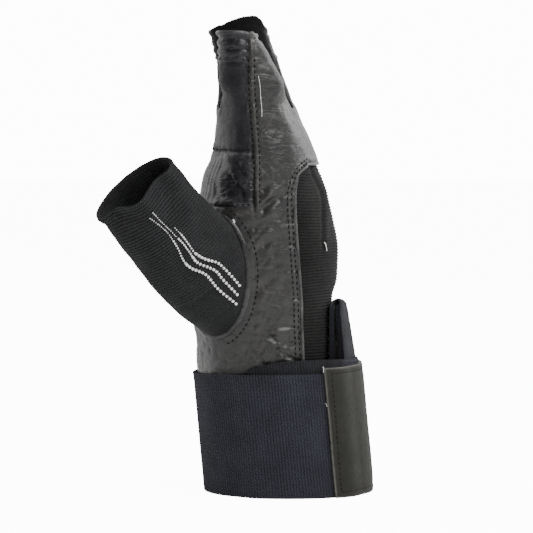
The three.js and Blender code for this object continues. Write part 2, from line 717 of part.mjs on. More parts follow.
// Smooth tab over the end of the band, wound on round the back.
function closureTab() {
  const sweep = degreesFor(TAB_LENGTH);
  const columns = Math.round(WRAP_COLUMNS_PER_TURN * sweep / 360);
  const overBand = 2 * ELASTIC + 2 * LAYER_GAP + LEATHERETTE;
  const overTurn = ELASTIC + LAYER_GAP + LEATHERETTE;
  const step = degreesFor(TAB_OVERLAP);
  const grid = Array.from({ length: WRAP_LEVELS + 1 }, (_, level) => Array.from(
    { length: columns + 1 },
    (_unused, column) => {
      const swept = sweep * column / columns;
      const out = mix(overBand, overTurn, ease(swept, TAB_STEP_FROM * step, TAB_STEP_TO * step));
      return wrapPoint(TAB_START - swept, TAB_HEIGHT * level / WRAP_LEVELS, out);
    },
  ));
  return sheet(grid, LEATHERETTE, false, true);
}

// Folded loop of webbing, standing between the back of the cuff and the wrap.
function pullLoop() {
  const reach = LOOP_WALL + LOOP_SPACE / 2;
  const outline = new THREE.Shape();
  outline.moveTo(-reach, 0);
  outline.lineTo(-reach + LOOP_WALL, 0);
  const height = LOOP_TOP - LOOP_FOOT - reach;
  outline.lineTo(-LOOP_SPACE / 2, height);
  outline.absarc(0, height, LOOP_SPACE / 2, Math.PI, 0, true);
  outline.lineTo(LOOP_SPACE / 2, 0);
  outline.lineTo(reach, 0);
  outline.lineTo(reach, height);
  outline.absarc(0, height, reach, 0, Math.PI, false);
  const options = { depth: LOOP_WIDTH, bevelEnabled: false, curveSegments: LOOP_BEND_STEPS };
  const geometry = new THREE.ExtrudeGeometry(outline, options);
  geometry.rotateX(Math.PI / 2);
  geometry.translate(reach, LOOP_WIDTH, LOOP_FOOT);
  geometry.rotateZ(radians(LOOP_TURN));
  const section = handSection(WRAP_HEIGHT);
  const off = 360 - angleAtY(section, LOOP_NEAR_Y);
  const seat = onSection(section, off);
  geometry.translate(seat.x + LOOP_FIT, LOOP_NEAR_Y, 0);
  return geometry;
}

addRelief();
const normals = skinNormals();
const walls = { back_knit: KNIT, default: LEATHER };
const finishes = { back_knit: 'knit', default: 'leather' };
[...new Set(quads.map(({ panel }) => panel))].forEach((panel) => {
  const gusset = panel.endsWith('_gusset');
  const cells = quads.filter((quad) => quad.panel === panel);
  const wall = gusset ? GUSSET : walls[panel] ?? walls.default;
  const finish = gusset ? 'knit' : finishes[panel] ?? finishes.default;
  const gap = gusset ? GUSSET_GAP : SEAM_GAP;
  const solid = toManifold(toGeometry(wallOver(points, normals, cells, wall, gap)));
  const cut = panel === 'hand_leather' ? solid.subtract(outwards(holePlug())) : solid;
  place(panel, fromManifold(cut), finish);
});
place('thumb_stall', thumbStall(), 'knit');
place('wrist_wrap', wristWrap(), 'elastic');
place('closure_tab', closureTab(), 'leatherette');
place('pull_loop', pullLoop(), 'elastic');

// The origin is under the middle of the glove, on the surface that it stands on.
const box = new THREE.Box3().setFromObject(glove);
const middle = box.getCenter(new THREE.Vector3());
glove.position.set(-middle.x, -middle.y, -box.min.z);

export default glove;
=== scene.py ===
"""Looks of a right-hand weightlifting glove with a knitted thumb and an elastic wrist wrap.

The shape functions work in the glove's own millimetres: +X is the back of the hand, -X the palm,
-Y the thumb side, +Y the little finger and +Z the fingers. A piece's mesh is written in metres in
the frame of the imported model. The leather skin is laid out as one sheet, pushed in and out along its
normals, and then cut along its seams into panels.
"""

from __future__ import annotations

import json
import logging
import math
from dataclasses import dataclass, field
from enum import Enum
from itertools import product
from typing import Callable, Sequence

import bpy
import numpy as np
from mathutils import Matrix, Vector
from mathutils.bvhtree import BVHTree
from mathutils.kdtree import KDTree

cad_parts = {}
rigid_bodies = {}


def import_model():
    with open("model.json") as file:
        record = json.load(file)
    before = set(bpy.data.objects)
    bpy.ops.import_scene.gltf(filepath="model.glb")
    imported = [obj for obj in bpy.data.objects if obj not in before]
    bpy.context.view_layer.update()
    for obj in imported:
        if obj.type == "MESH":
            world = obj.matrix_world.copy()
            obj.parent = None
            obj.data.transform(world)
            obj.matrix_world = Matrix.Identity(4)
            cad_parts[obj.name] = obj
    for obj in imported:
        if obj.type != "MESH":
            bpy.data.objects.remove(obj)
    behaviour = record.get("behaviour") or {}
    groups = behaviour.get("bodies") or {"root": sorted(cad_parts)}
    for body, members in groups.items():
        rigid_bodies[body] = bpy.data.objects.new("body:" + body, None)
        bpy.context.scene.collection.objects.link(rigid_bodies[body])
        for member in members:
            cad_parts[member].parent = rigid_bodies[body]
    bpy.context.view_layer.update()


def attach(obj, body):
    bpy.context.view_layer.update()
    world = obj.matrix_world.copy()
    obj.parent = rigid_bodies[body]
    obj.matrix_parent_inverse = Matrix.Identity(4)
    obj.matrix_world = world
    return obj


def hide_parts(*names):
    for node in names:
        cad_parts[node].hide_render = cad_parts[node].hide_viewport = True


log = logging.getLogger("glove")

MM = 0.001
FRAME_SHIFT = np.array([19.2305, 12.6876, 0.0])
BODY = "root"


class Panel(Enum):
    """Cut pieces of the glove's skin, by the name of the solid that each stands for."""

    HAND = "hand_leather"
    KNIT = "back_knit"
    PAD = "palm_pad"
    FRONTS = "finger_fronts"
    INDEX_CAP = "index_cap"
    MIDDLE_CAP = "middle_cap"
    RING_CAP = "ring_cap"
    LITTLE_CAP = "little_cap"
    INDEX_GUSSET = "index_middle_gusset"
    MIDDLE_GUSSET = "middle_ring_gusset"
    RING_GUSSET = "ring_little_gusset"


PANELS = list(Panel)
CAPS = [Panel.INDEX_CAP, Panel.MIDDLE_CAP, Panel.RING_CAP, Panel.LITTLE_CAP]
GUSSETS = [Panel.INDEX_GUSSET, Panel.MIDDLE_GUSSET, Panel.RING_GUSSET]


# Number helpers


def ease(value, start: float, end: float):
    """Smooth step from 0 at start to 1 at end."""
    share = np.clip((np.asarray(value, float) - start) / (end - start), 0, 1)
    return share * share * (3 - 2 * share)


def bump(value, middle: float, width: float):
    """Bell that is 1 at middle and fades over width."""
    return np.exp(-(((np.asarray(value, float) - middle) / width) ** 2))


def mix(start, end, share):
    """Value between start and end."""
    return start + (end - start) * share


def along(rows: Sequence[tuple], column: int, at):
    """Smooth curve through one column of a table.

    Args:
        rows: table rows whose first entry is the key that rises from row to row.
        column: index of the wanted entry.
        at: keys at which the curve is wanted.

    Returns:
        The curve's values, held level past both ends of the table.
    """
    keys = np.array([row[0] for row in rows], float)
    values = np.array([row[column] for row in rows], float)
    before = np.maximum(np.arange(len(keys)) - 1, 0)
    after = np.minimum(np.arange(len(keys)) + 1, len(keys) - 1)
    slopes = (values[after] - values[before]) / (keys[after] - keys[before])
    at = np.asarray(at, float)
    high = np.clip(np.searchsorted(keys, at, side="right"), 1, len(keys) - 1)
    low = high - 1
    span = keys[high] - keys[low]
    t = np.clip((at - keys[low]) / span, 0, 1)
    ends = values[low] * (1 + 2 * t) * (1 - t) ** 2 + values[high] * t * t * (3 - 2 * t)
    return ends + span * (slopes[low] * t * (1 - t) ** 2 - slopes[high] * t * t * (1 - t))


def noise(points: np.ndarray, cell: Sequence[float], seed: int) -> np.ndarray:
    """Smooth random field over space.

    Args:
        points: places in millimetres, one row each.
        cell: size of the field's lumps along X, Y and Z in millimetres.
        seed: number that tells one field from another.

    Returns:
        One value from -1 to 1 for each place.
    """
    scaled = points / np.array(cell, float)
    base = np.floor(scaled).astype(np.int64)
    part = scaled - base
    part = part * part * (3 - 2 * part)
    total = np.zeros(len(points))
    for corner in product((0, 1), repeat=3):
        spot = (base + corner).astype(np.uint64)
        mixed = spot[:, 0] * np.uint64(73856093) ^ spot[:, 1] * np.uint64(19349663)
        mixed ^= spot[:, 2] * np.uint64(83492791) ^ np.uint64(seed * 2654435761)
        mixed = (mixed ^ (mixed >> np.uint64(13))) * np.uint64(1274126177)
        value = ((mixed ^ (mixed >> np.uint64(16))) & np.uint64(0xFFFF)) / 65535.0
        weight = np.ones(len(points))
        for axis, bit in enumerate(corner):
            weight *= part[:, axis] if bit else 1 - part[:, axis]
        total += value * weight
    return 2 * total - 1


def spread(stops: Sequence, counts: Sequence[int]) -> np.ndarray:
    """Even steps between stops, with the last stop left off.

    Args:
        stops: arrays of places, one array per stop.
        counts: steps between each stop and the next.

    Returns:
        The places, with the steps along the last axis.
    """
    parts = [
        mix(np.asarray(low, float)[..., None], np.asarray(high, float)[..., None], np.arange(count) / count)
        for low, high, count in zip(stops[:-1], stops[1:], counts)
    ]
    return np.concatenate(parts, axis=-1)


def heights(stops: Sequence[float], step: float) -> np.ndarray:
    """Rising heights that hit every stop, about one step apart."""
    counts = [max(1, round((high - low) / step)) for low, high in zip(stops[:-1], stops[1:])]
    return np.append(spread(np.array(stops), counts), stops[-1])


# Shape of the hand


@dataclass(frozen=True)
class Section:
    """Rounded cross-section of the glove: its middle line and its reach to each side."""

    middle: np.ndarray
    palm: np.ndarray
    back: np.ndarray
    thumb_side: np.ndarray
    little_side: np.ndarray
    power: np.ndarray | float
    centre: float = 0.0

    def at(self, angle) -> tuple[np.ndarray, np.ndarray]:
        """Point at an angle: 0 is the thumb side, 90 the palm, 180 the little finger, 270 the back.

        Args:
            angle: degrees round the section.

        Returns:
            The X and Y of the point.
        """
        s = np.sin(np.radians(angle))
        c = np.cos(np.radians(angle))
        reach = (np.abs(s) ** self.power + np.abs(c) ** self.power) ** (-1 / self.power)
        depth = np.where(s > 0, self.palm, self.back)
        breadth = np.where(c > 0, self.thumb_side, self.little_side)
        return self.middle - s * reach * depth, self.centre - c * reach * breadth

    def angle_at_x(self, x) -> np.ndarray:
        """Angle off the thumb side at which the section reaches x, positive towards the palm."""
        palmward = self.middle - x
        share = np.minimum(np.abs(palmward) / np.where(palmward > 0, self.palm, self.back), 0.999)
        rest = (1 - share**self.power) ** (1 / self.power)
        return np.sign(palmward) * np.degrees(np.arctan2(share, rest))

    def angle_at_y(self, y: float) -> np.ndarray:
        """Angle at which the palm half of the section reaches y."""
        share = abs(y) / (self.thumb_side if y < 0 else self.little_side)
        rest = (1 - share**self.power) ** (1 / self.power)
        off = np.degrees(np.arctan2(rest, share))
        return off if y < 0 else 180 - off


@dataclass(frozen=True)
class Stall:
    """One finger stall: its length above the crotch, its place across the hand and its rim's lean."""

    name: str
    length: float
    near: float
    far: float
    palm_lean: float
    back_lean: float
    side_rise: float
    back_rise: float

    def rim_rise(self, angle: np.ndarray) -> np.ndarray:
        """Rise of the rim round the stall, highest behind the middle of each side.

        Args:
            angle: degrees round the stall.

        Returns:
            Shares of the cap's height.
        """
        tilt = np.degrees(np.arcsin(np.sin(np.radians(angle))))
        side = bump(tilt, -28, np.where(tilt > -28, 65, 38))
        return self.side_rise * side + self.back_rise * np.maximum(-np.sin(np.radians(angle)), 0)


STALLS = (
    Stall("index", 33.8, -0.985, -0.534, 0, 0, 0, -0.06),
    Stall("middle", 34.2, -0.464, -0.028, 0.08, 0.19, 0.47, 0.02),
    Stall("ring", 31, 0.042, 0.478, 0.065, 0.14, 0.3, 0.1),
    Stall("little", 24, 0.548, 0.965, 0.05, 0.1, 0, 0),
)

# Reach of the hand by height. rise is a share of crotch_height, palm of palm_depth, back of
# back_depth, and both sides of half of breadth.
HAND_ROWS = (
    # rise, palm, back, thumb_side, little_side
    (0.331, 0.876, 0.94, 0.895, 0.895),
    (0.384, 0.885, 0.93, 0.905, 0.9),
    (0.442, 0.93, 0.93, 0.93, 0.915),
    (0.512, 0.978, 0.94, 0.955, 0.93),
    (0.581, 1, 0.98, 0.975, 0.95),
    (0.64, 0.985, 0.99, 0.985, 0.97),
    (0.709, 0.928, 0.9, 0.992, 0.985),
    (0.767, 0.856, 0.805, 0.998, 0.995),
    (0.826, 0.8, 0.72, 1, 1),
    (0.872, 0.715, 0.6, 1, 0.995),
    (0.919, 0.694, 0.49, 0.995, 0.985),
    (1, 0.67, 0.24, 0.985, 0.965),
    (1.058, 0.638, 0.056, 0.985, 0.96),
    (1.11, 0.636, -0.13, 0.985, 0.955),
    (1.153, 0.647, -0.29, 0.985, 0.955),
    (1.198, 0.656, -0.48, 0.985, 0.955),
    (1.238, 0.66, -0.64, 0.985, 0.955),
)

# Edge of the knitted back. rise is a share of knit_top, across of back_depth.
KNIT_EDGE = (
    # rise, across
    (0.136, 0.36),
    (0.422, 0.364),
    (0.524, 0.34),
    (0.599, 0.33),
    (0.803, 0.244),
    (0.898, 0.216),
    (0.946, 0.24),
    (0.976, 0.3),
    (1, 0.48),
)


@dataclass(frozen=True)
class WrapForm:
    """The wrist wrap's inner shape and heights, in millimetres and degrees."""

    height: float = 54.6
    inner_x: float = 72
    inner_y: float = 77.2
    power: float = 2.2
    foot_x: float = 1.85
    lean: float = -5.1
    start: float = 19
    tab_start: float = -31
    tab_height: float = 57.5
    tab_length: float = 78
    tab_overlap: float = 6
    step: float = 14
    wall: float = 1.6
    tab_wall: float = 1.5
    layer_gap: float = 0.3

    def middle(self, z) -> np.ndarray:
        """Middle line, which leans towards the palm as it rises."""
        return self.foot_x + self.lean * np.asarray(z, float) / self.height

    def section(self, z, out) -> Section:
        """The wrap's inner face at a height, pushed out by some layers."""
        half_x = self.inner_x / 2 + out
        half_y = self.inner_y / 2 + out
        return Section(self.middle(z), half_x, half_x, half_y, half_y, self.power)

    def point(self, angle, z, out) -> np.ndarray:
        """Point of the wrap at an angle and height, pushed out by some layers."""
        angle, z, out = np.broadcast_arrays(np.asarray(angle, float), z, out)
        x, y = self.section(z, out).at(angle)
        return np.stack([x, y, z.astype(float)], axis=-1)

    def degrees_for(self, length: float) -> float:
        """Degrees of winding that a length of band takes."""
        return 360 * length / (math.pi * (self.inner_x + self.inner_y) / 2)


@dataclass(frozen=True)
class HandForm:
    """The hand's skin as a function of an angle round it and a height, in millimetres."""

    wrap: WrapForm = WrapForm()
    crotch_height: float = 172
    breadth: float = 85.4
    palm_depth: float = 44.5
    back_depth: float = 25
    section_power: float = 2.4
    stall_power: float = 2.3
    cuff_foot: float = 20
    pad_seam: float = 128.5
    gather_seam: float = 152.6
    knit_top: float = 147
    side_seam_x: float = -13.4
    seam_lean: float = 2.2
    knit_corner: float = 48
    palm_hollow: float = 4
    stall_seam: float = 36
    cap_height: float = 14
    stall_rounding: float = 13
    cuff_fit: float = 0.4
    thumb_hole_middle: float = 98
    leather: float = 1.6
    knit: float = 1.5
    gusset: float = 1.3

    def section(self, z) -> Section:
        """The hand's skin at a height, which takes the wrap's shape near the cuff.

        Args:
            z: heights in millimetres.

        Returns:
            The section, whose reaches are arrays like z.
        """
        z = np.asarray(z, float)
        rise = z / self.crotch_height
        cuff = 1 - ease(z, self.wrap.height, self.wrap.height + self.cap_height)
        palm_edge = -along(HAND_ROWS, 1, rise) * self.palm_depth
        back_edge = along(HAND_ROWS, 2, rise) * self.back_depth
        cuff_palm = self.wrap.middle(z) - self.wrap.inner_x / 2 + self.cuff_fit
        cuff_side = self.wrap.inner_y / 2 - self.cuff_fit
        palm = mix(palm_edge, cuff_palm, cuff)
        middle = mix((palm_edge + back_edge) / 2, self.wrap.middle(z), cuff)
        return Section(
            middle,
            middle - palm,
            back_edge - middle,
            mix(along(HAND_ROWS, 3, rise) * self.breadth / 2, cuff_side, cuff),
            mix(along(HAND_ROWS, 4, rise) * self.breadth / 2, cuff_side, cuff),
            mix(self.section_power, self.wrap.power, cuff),
        )

    def point(self, angle, z) -> np.ndarray:
        """Point of the skin at an angle and a height, with the dent of the palm."""
        angle, z = np.broadcast_arrays(np.asarray(angle, float), np.asarray(z, float))
        x, y = self.section(z).at(angle)
        across = ease(angle, 70, 105) * (1 - ease(angle, 105, 140))
        up = ease(z, self.wrap.height, self.thumb_hole_middle)
        up = up * (1 - ease(z, self.thumb_hole_middle, self.pad_seam))
        return np.stack([x + self.palm_hollow * across * up, y, z], axis=-1)

    def side_seam(self, z) -> np.ndarray:
        """X of both side seams, which lean towards the palm on the finger stalls."""
        top = self.crotch_height + self.cap_height
        return self.side_seam_x - self.seam_lean * ease(z, self.knit_top, top)

    def knit_angle(self, z) -> np.ndarray:
        """Angle between the thumb side and the edge of the knitted back at a height."""
        z = np.asarray(z, float)
        knit_x = along(KNIT_EDGE, 1, z / self.knit_top) * self.back_depth
        return np.minimum(-self.section(z).angle_at_x(knit_x), self.knit_corner)

    def web_angles(self) -> list[tuple[float, float]]:
        """Angles of both edges of each web between two stalls, on the palm half."""
        crotch = self.section(self.crotch_height)
        half = self.breadth / 2
        return [
            (float(crotch.angle_at_y(a.far * half)), float(crotch.angle_at_y(b.near * half)))
            for a, b in zip(STALLS[:-1], STALLS[1:])
        ]

    def stall_section(self, stall: Stall, share) -> Section:
        """A stall's own round section at a share of its length.

        Args:
            stall: the finger stall.
            share: 0 at the crotch and 1 at the rim.

        Returns:
            The section, centred on the stall.
        """
        share = np.asarray(share, float)
        hand = self.section(self.crotch_height + stall.length * share)
        palm = hand.middle - hand.palm - stall.palm_lean * self.palm_depth * share * share
        back = hand.middle + hand.back + stall.back_lean * self.back_depth * share * share
        half = (stall.far - stall.near) * self.breadth / 4
        centre = (stall.far + stall.near) * self.breadth / 4
        depth = (back - palm) / 2
        return Section((palm + back) / 2, depth, depth, half, half, self.stall_power, centre)

    def cap_seam(self, stall: Stall) -> float:
        """Height of the seam between a stall's front and its cap."""
        return self.crotch_height + stall.length - self.cap_height


# Meshes


def to_metres(points: np.ndarray) -> np.ndarray:
    """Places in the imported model's frame, in metres."""
    return (points + FRAME_SHIFT) * MM


def coordinates(piece: bpy.types.Object) -> np.ndarray:
    """The piece's vertices in the glove's own millimetres."""
    flat = np.empty(len(piece.data.vertices) * 3)
    piece.data.vertices.foreach_get("co", flat)
    return flat.reshape(-1, 3) / MM - FRAME_SHIFT


def move_vertices(piece: bpy.types.Object, points: np.ndarray) -> None:
    """Puts the piece's vertices at places given in the glove's own millimetres."""
    piece.data.vertices.foreach_set("co", to_metres(points).ravel())
    piece.data.update()


def vertex_normals(piece: bpy.types.Object) -> np.ndarray:
    """Outward direction of each vertex."""
    flat = np.empty(len(piece.data.vertices) * 3)
    piece.data.vertex_normals.foreach_get("vector", flat)
    return flat.reshape(-1, 3)


def corner_vertices(piece: bpy.types.Object) -> np.ndarray:
    """Vertex index of each face corner, in face order."""
    corners = np.empty(len(piece.data.loops), np.int64)
    piece.data.loops.foreach_get("vertex_index", corners)
    return corners


def choose(*pieces: bpy.types.Object) -> None:
    """Selects these pieces only and makes the first one active."""
    bpy.ops.object.select_all(action="DESELECT")
    for piece in pieces:
        piece.select_set(True)
    bpy.context.view_layer.objects.active = pieces[0]


def lay_grid(
    name: str, points: np.ndarray, uv: np.ndarray, labels: np.ndarray | None = None
) -> bpy.types.Object:
    """Adds a grid and moves its vertices onto a surface.

    Args:
        name: the piece's name.
        points: places in millimetres, rows by columns by 3.
        uv: surface lengths in millimetres, rows by columns by 2, kept in metres as the UV map.
        labels: whole numbers for the grid's cells, kept as the face attribute "panel".

    Returns:
        The new piece.
    """
    rows, columns = points.shape[:2]
    bpy.ops.object.select_all(action="DESELECT")
    bpy.ops.mesh.primitive_grid_add(x_subdivisions=columns - 1, y_subdivisions=rows - 1, size=1)
    piece = bpy.context.active_object
    piece.name = name
    piece.data.name = name
    flat = np.empty(len(piece.data.vertices) * 3)
    piece.data.vertices.foreach_get("co", flat)
    plan = flat.reshape(-1, 3)
    column = np.rint((plan[:, 0] + 0.5) * (columns - 1)).astype(int)
    row = np.rint((plan[:, 1] + 0.5) * (rows - 1)).astype(int)
    corners = corner_vertices(piece)
    piece.data.uv_layers[0].data.foreach_set("uv", (uv[row, column] * MM)[corners].ravel())
    if labels is not None:
        cell = corners.reshape(-1, 4)
        marks = labels[row[cell].min(axis=1), column[cell].min(axis=1)]
        attribute = piece.data.attributes.new("panel", "INT", "FACE")
        attribute.data.foreach_set("value", marks.astype(np.int32))
    move_vertices(piece, points[row, column])
    return piece


def surface_lengths(points: np.ndarray) -> np.ndarray:
    """Lengths run along the rows and columns of a grid of points, rows by columns by 2."""
    across = np.linalg.norm(np.diff(points, axis=1), axis=2)
    across = np.concatenate([np.zeros((len(points), 1)), np.cumsum(across, axis=1)], axis=1)
    across = np.broadcast_to(across.mean(axis=0), points.shape[:2])
    up = np.linalg.norm(np.diff(points, axis=0), axis=2)
    up = np.concatenate([np.zeros((1, points.shape[1])), np.cumsum(up, axis=0)], axis=0)
    up = np.broadcast_to(up.mean(axis=1)[:, None], points.shape[:2])
    return np.stack([across, up], axis=-1)


def join(name: str, pieces: Sequence[bpy.types.Object], weld: float = 0.02) -> bpy.types.Object:
    """Joins pieces into one and welds vertices that are within a few hundredths of a millimetre."""
    choose(*pieces)
    if len(pieces) > 1:
        bpy.ops.object.join()
    piece = bpy.context.active_object
    piece.name = name
    piece.data.name = name
    bpy.ops.object.mode_set(mode="EDIT")
    bpy.ops.mesh.select_all(action="SELECT")
    bpy.ops.mesh.remove_doubles(threshold=weld * MM)
    bpy.ops.object.mode_set(mode="OBJECT")
    return piece


def face_outwards(piece: bpy.types.Object, outward: Callable[[np.ndarray], np.ndarray]) -> None:
    """Turns the faces of an open sheet so that they look outwards.

    Args:
        piece: the sheet.
        outward: gives a rough outward direction for each place in millimetres.
    """
    if np.sum(vertex_normals(piece) * outward(coordinates(piece))) < 0:
        choose(piece)
        bpy.ops.object.mode_set(mode="EDIT")
        bpy.ops.mesh.select_all(action="SELECT")
        bpy.ops.mesh.flip_normals()
        bpy.ops.object.mode_set(mode="OBJECT")


def cut_faces(piece: bpy.types.Object, chosen: np.ndarray) -> None:
    """Deletes the chosen faces."""
    mark_faces(piece, chosen)
    bpy.ops.mesh.delete(type="FACE")
    bpy.ops.object.mode_set(mode="OBJECT")


def mark_faces(piece: bpy.types.Object, chosen: np.ndarray) -> None:
    """Selects the chosen faces and stays in edit mode."""
    choose(piece)
    bpy.ops.object.mode_set(mode="EDIT")
    bpy.ops.mesh.select_mode(type="FACE")
    bpy.ops.mesh.select_all(action="DESELECT")
    bpy.ops.object.mode_set(mode="OBJECT")
    piece.data.polygons.foreach_set("select", chosen)
    bpy.ops.object.mode_set(mode="EDIT")


def thicken(piece: bpy.types.Object, wall: float, side: float = -1) -> None:
    """Gives an open sheet its wall in millimetres: inwards, or with side 1 outwards."""
    modifier = piece.modifiers.new("wall", "SOLIDIFY")
    modifier.thickness = wall * MM
    modifier.offset = side
    modifier.use_rim = True
    choose(piece)
    bpy.ops.object.modifier_apply(modifier=modifier.name)


def set_attribute(piece: bpy.types.Object, name: str, values: np.ndarray) -> None:
    """Stores one number for each vertex for the piece's material to read."""
    attribute = piece.data.attributes.new(name, "FLOAT", "POINT")
    attribute.data.foreach_set("value", np.asarray(values, np.float32))


def dress(piece: bpy.types.Object, material: bpy.types.Material, slot: str, *nodes: str) -> bpy.types.Object:
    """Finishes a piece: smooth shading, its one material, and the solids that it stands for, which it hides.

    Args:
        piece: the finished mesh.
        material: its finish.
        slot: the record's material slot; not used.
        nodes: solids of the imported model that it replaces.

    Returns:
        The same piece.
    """
    choose(piece)
    bpy.ops.object.shade_smooth_by_angle(angle=math.radians(50))
    piece.data.materials.clear()
    piece.data.materials.append(material)
    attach(piece, BODY)
    if nodes:
        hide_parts(*nodes)
    log.info("%s: %d faces", piece.name, len(piece.data.polygons))
    return piece


def tube(name: str, route: np.ndarray, radius: float, sides: int = 8, flat: float = 1.0) -> bpy.types.Object:
    """Round cord along a route, with closed ends, made by skinning rings of a grid.

    Args:
        name: the piece's name.
        route: places in millimetres, one row each. A closed route repeats its first place at its end.
        radius: half of the cord's thickness in millimetres.
        sides: corners of its section.
        flat: height of the section as a share of its width.

    Returns:
        The cord.
    """
    step = np.gradient(route, axis=0)
    if np.allclose(route[0], route[-1]):
        step[0] = step[-1] = route[1] - route[-2]
    step /= np.linalg.norm(step, axis=1, keepdims=True)
    side = np.cross(step, [0.3, 0.2, 0.93])
    side /= np.linalg.norm(side, axis=1, keepdims=True)
    rise = np.cross(side, step)
    turns = np.linspace(0, 2 * math.pi, sides + 1)
    sideways = np.cos(turns)[None, :, None] * side[:, None, :]
    ring = sideways + flat * np.sin(turns)[None, :, None] * rise[:, None, :]
    points = route[:, None, :] + radius * ring
    if not np.allclose(route[0], route[-1]):
        start, end = route[:1, None, :], route[-1:, None, :]
        points = np.concatenate([start + 0 * points[:1], points, end + 0 * points[:1]])
    piece = join(name, [lay_grid(name, points, surface_lengths(points))])
    choose(piece)
    bpy.ops.object.mode_set(mode="EDIT")
    bpy.ops.mesh.select_all(action="SELECT")
    bpy.ops.mesh.normals_make_consistent(inside=False)
    bpy.ops.object.mode_set(mode="OBJECT")
    return piece


class Seat:
    """Finds places on finished pieces by casting rays at them."""

    def __init__(self, pieces: Sequence[bpy.types.Object]) -> None:
        """Reads the pieces' faces as they are now."""
        points: list[np.ndarray] = []
        faces: list[list[int]] = []
        start = 0
        for piece in pieces:
            points.append(coordinates(piece))
            faces.extend([[start + i for i in face.vertices] for face in piece.data.polygons])
            start += len(piece.data.vertices)
        self.tree = BVHTree.FromPolygons(np.concatenate(points).tolist(), faces)

    def hit(self, start: Sequence[float], direction: Sequence[float]) -> tuple[np.ndarray, np.ndarray] | None:
        """First place that a ray meets, with the surface's direction there."""
        place, normal, _face, _far = self.tree.ray_cast(Vector(start), Vector(direction).normalized())
        return None if place is None else (np.array(place), np.array(normal))

    def row(self, starts: np.ndarray, direction: Sequence[float]) -> list[tuple[np.ndarray, np.ndarray]]:
        """Places met from each start, with misses left out."""
        found = (self.hit(start, direction) for start in starts)
        return [spot for spot in found if spot is not None]


@dataclass
class StitchRow:
    """Rows of short stitches that lie on the finished pieces."""

    name: str
    length: float
    radius: float
    pitch: float
    sunk: float = 0.1
    spots: list[tuple[np.ndarray, np.ndarray, np.ndarray]] = field(default_factory=list)

    def follow(self, found: Sequence[tuple[np.ndarray, np.ndarray]]) -> None:
        """Adds a row of stitches along places on a surface.

        Args:
            found: places with the surface's direction at each, in order along the row.
        """
        if len(found) < 3:
            return
        places = np.array([spot[0] for spot in found])
        outs = np.array([spot[1] for spot in found])
        lengths = np.concatenate([[0], np.cumsum(np.linalg.norm(np.diff(places, axis=0), axis=1))])
        wanted = np.arange(self.pitch / 2, lengths[-1], self.pitch)
        steps = np.gradient(places, lengths, axis=0)
        for at in wanted:
            place, out, step = (
                np.array([np.interp(at, lengths, rows[:, axis]) for axis in range(3)])
                for rows in (places, outs, steps)
            )
            self.spots.append((place, out / np.linalg.norm(out), step / np.linalg.norm(step)))

    def build(self, material: bpy.types.Material, slot: str) -> bpy.types.Object | None:
        """Models one stitch and copies it to every spot.

        Args:
            material: finish of the thread.
            slot: the record's material slot.

        Returns:
            All the stitches as one piece, or nothing where there are none.
        """
        if not self.spots:
            return None
        bpy.ops.object.select_all(action="DESELECT")
        bpy.ops.mesh.primitive_uv_sphere_add(segments=6, ring_count=4, radius=1)
        model = bpy.context.active_object
        shape = np.array([tuple(v.co) for v in model.data.vertices])
        faces = [tuple(face.vertices) for face in model.data.polygons]
        bpy.data.objects.remove(model)
        points: list[np.ndarray] = []
        every: list[tuple[int, ...]] = []
        for place, out, step in self.spots:
            side = np.cross(out, step)
            start = len(points) * len(shape)
            bow = -0.25 * self.radius * shape[:, 2:3] ** 2
            body = step * shape[:, 2:3] * self.length / 2 + side * shape[:, 0:1] * self.radius
            body = body + out * (shape[:, 1:2] * self.radius + bow - self.sunk)
            points.append(place + body)
            every.extend(tuple(start + i for i in face) for face in faces)
        mesh = bpy.data.meshes.new(self.name)
        mesh.from_pydata(to_metres(np.concatenate(points)).tolist(), [], every)
        piece = bpy.data.objects.new(self.name, mesh)
        bpy.context.scene.collection.objects.link(piece)
        return dress(piece, material, slot)


# Finishes


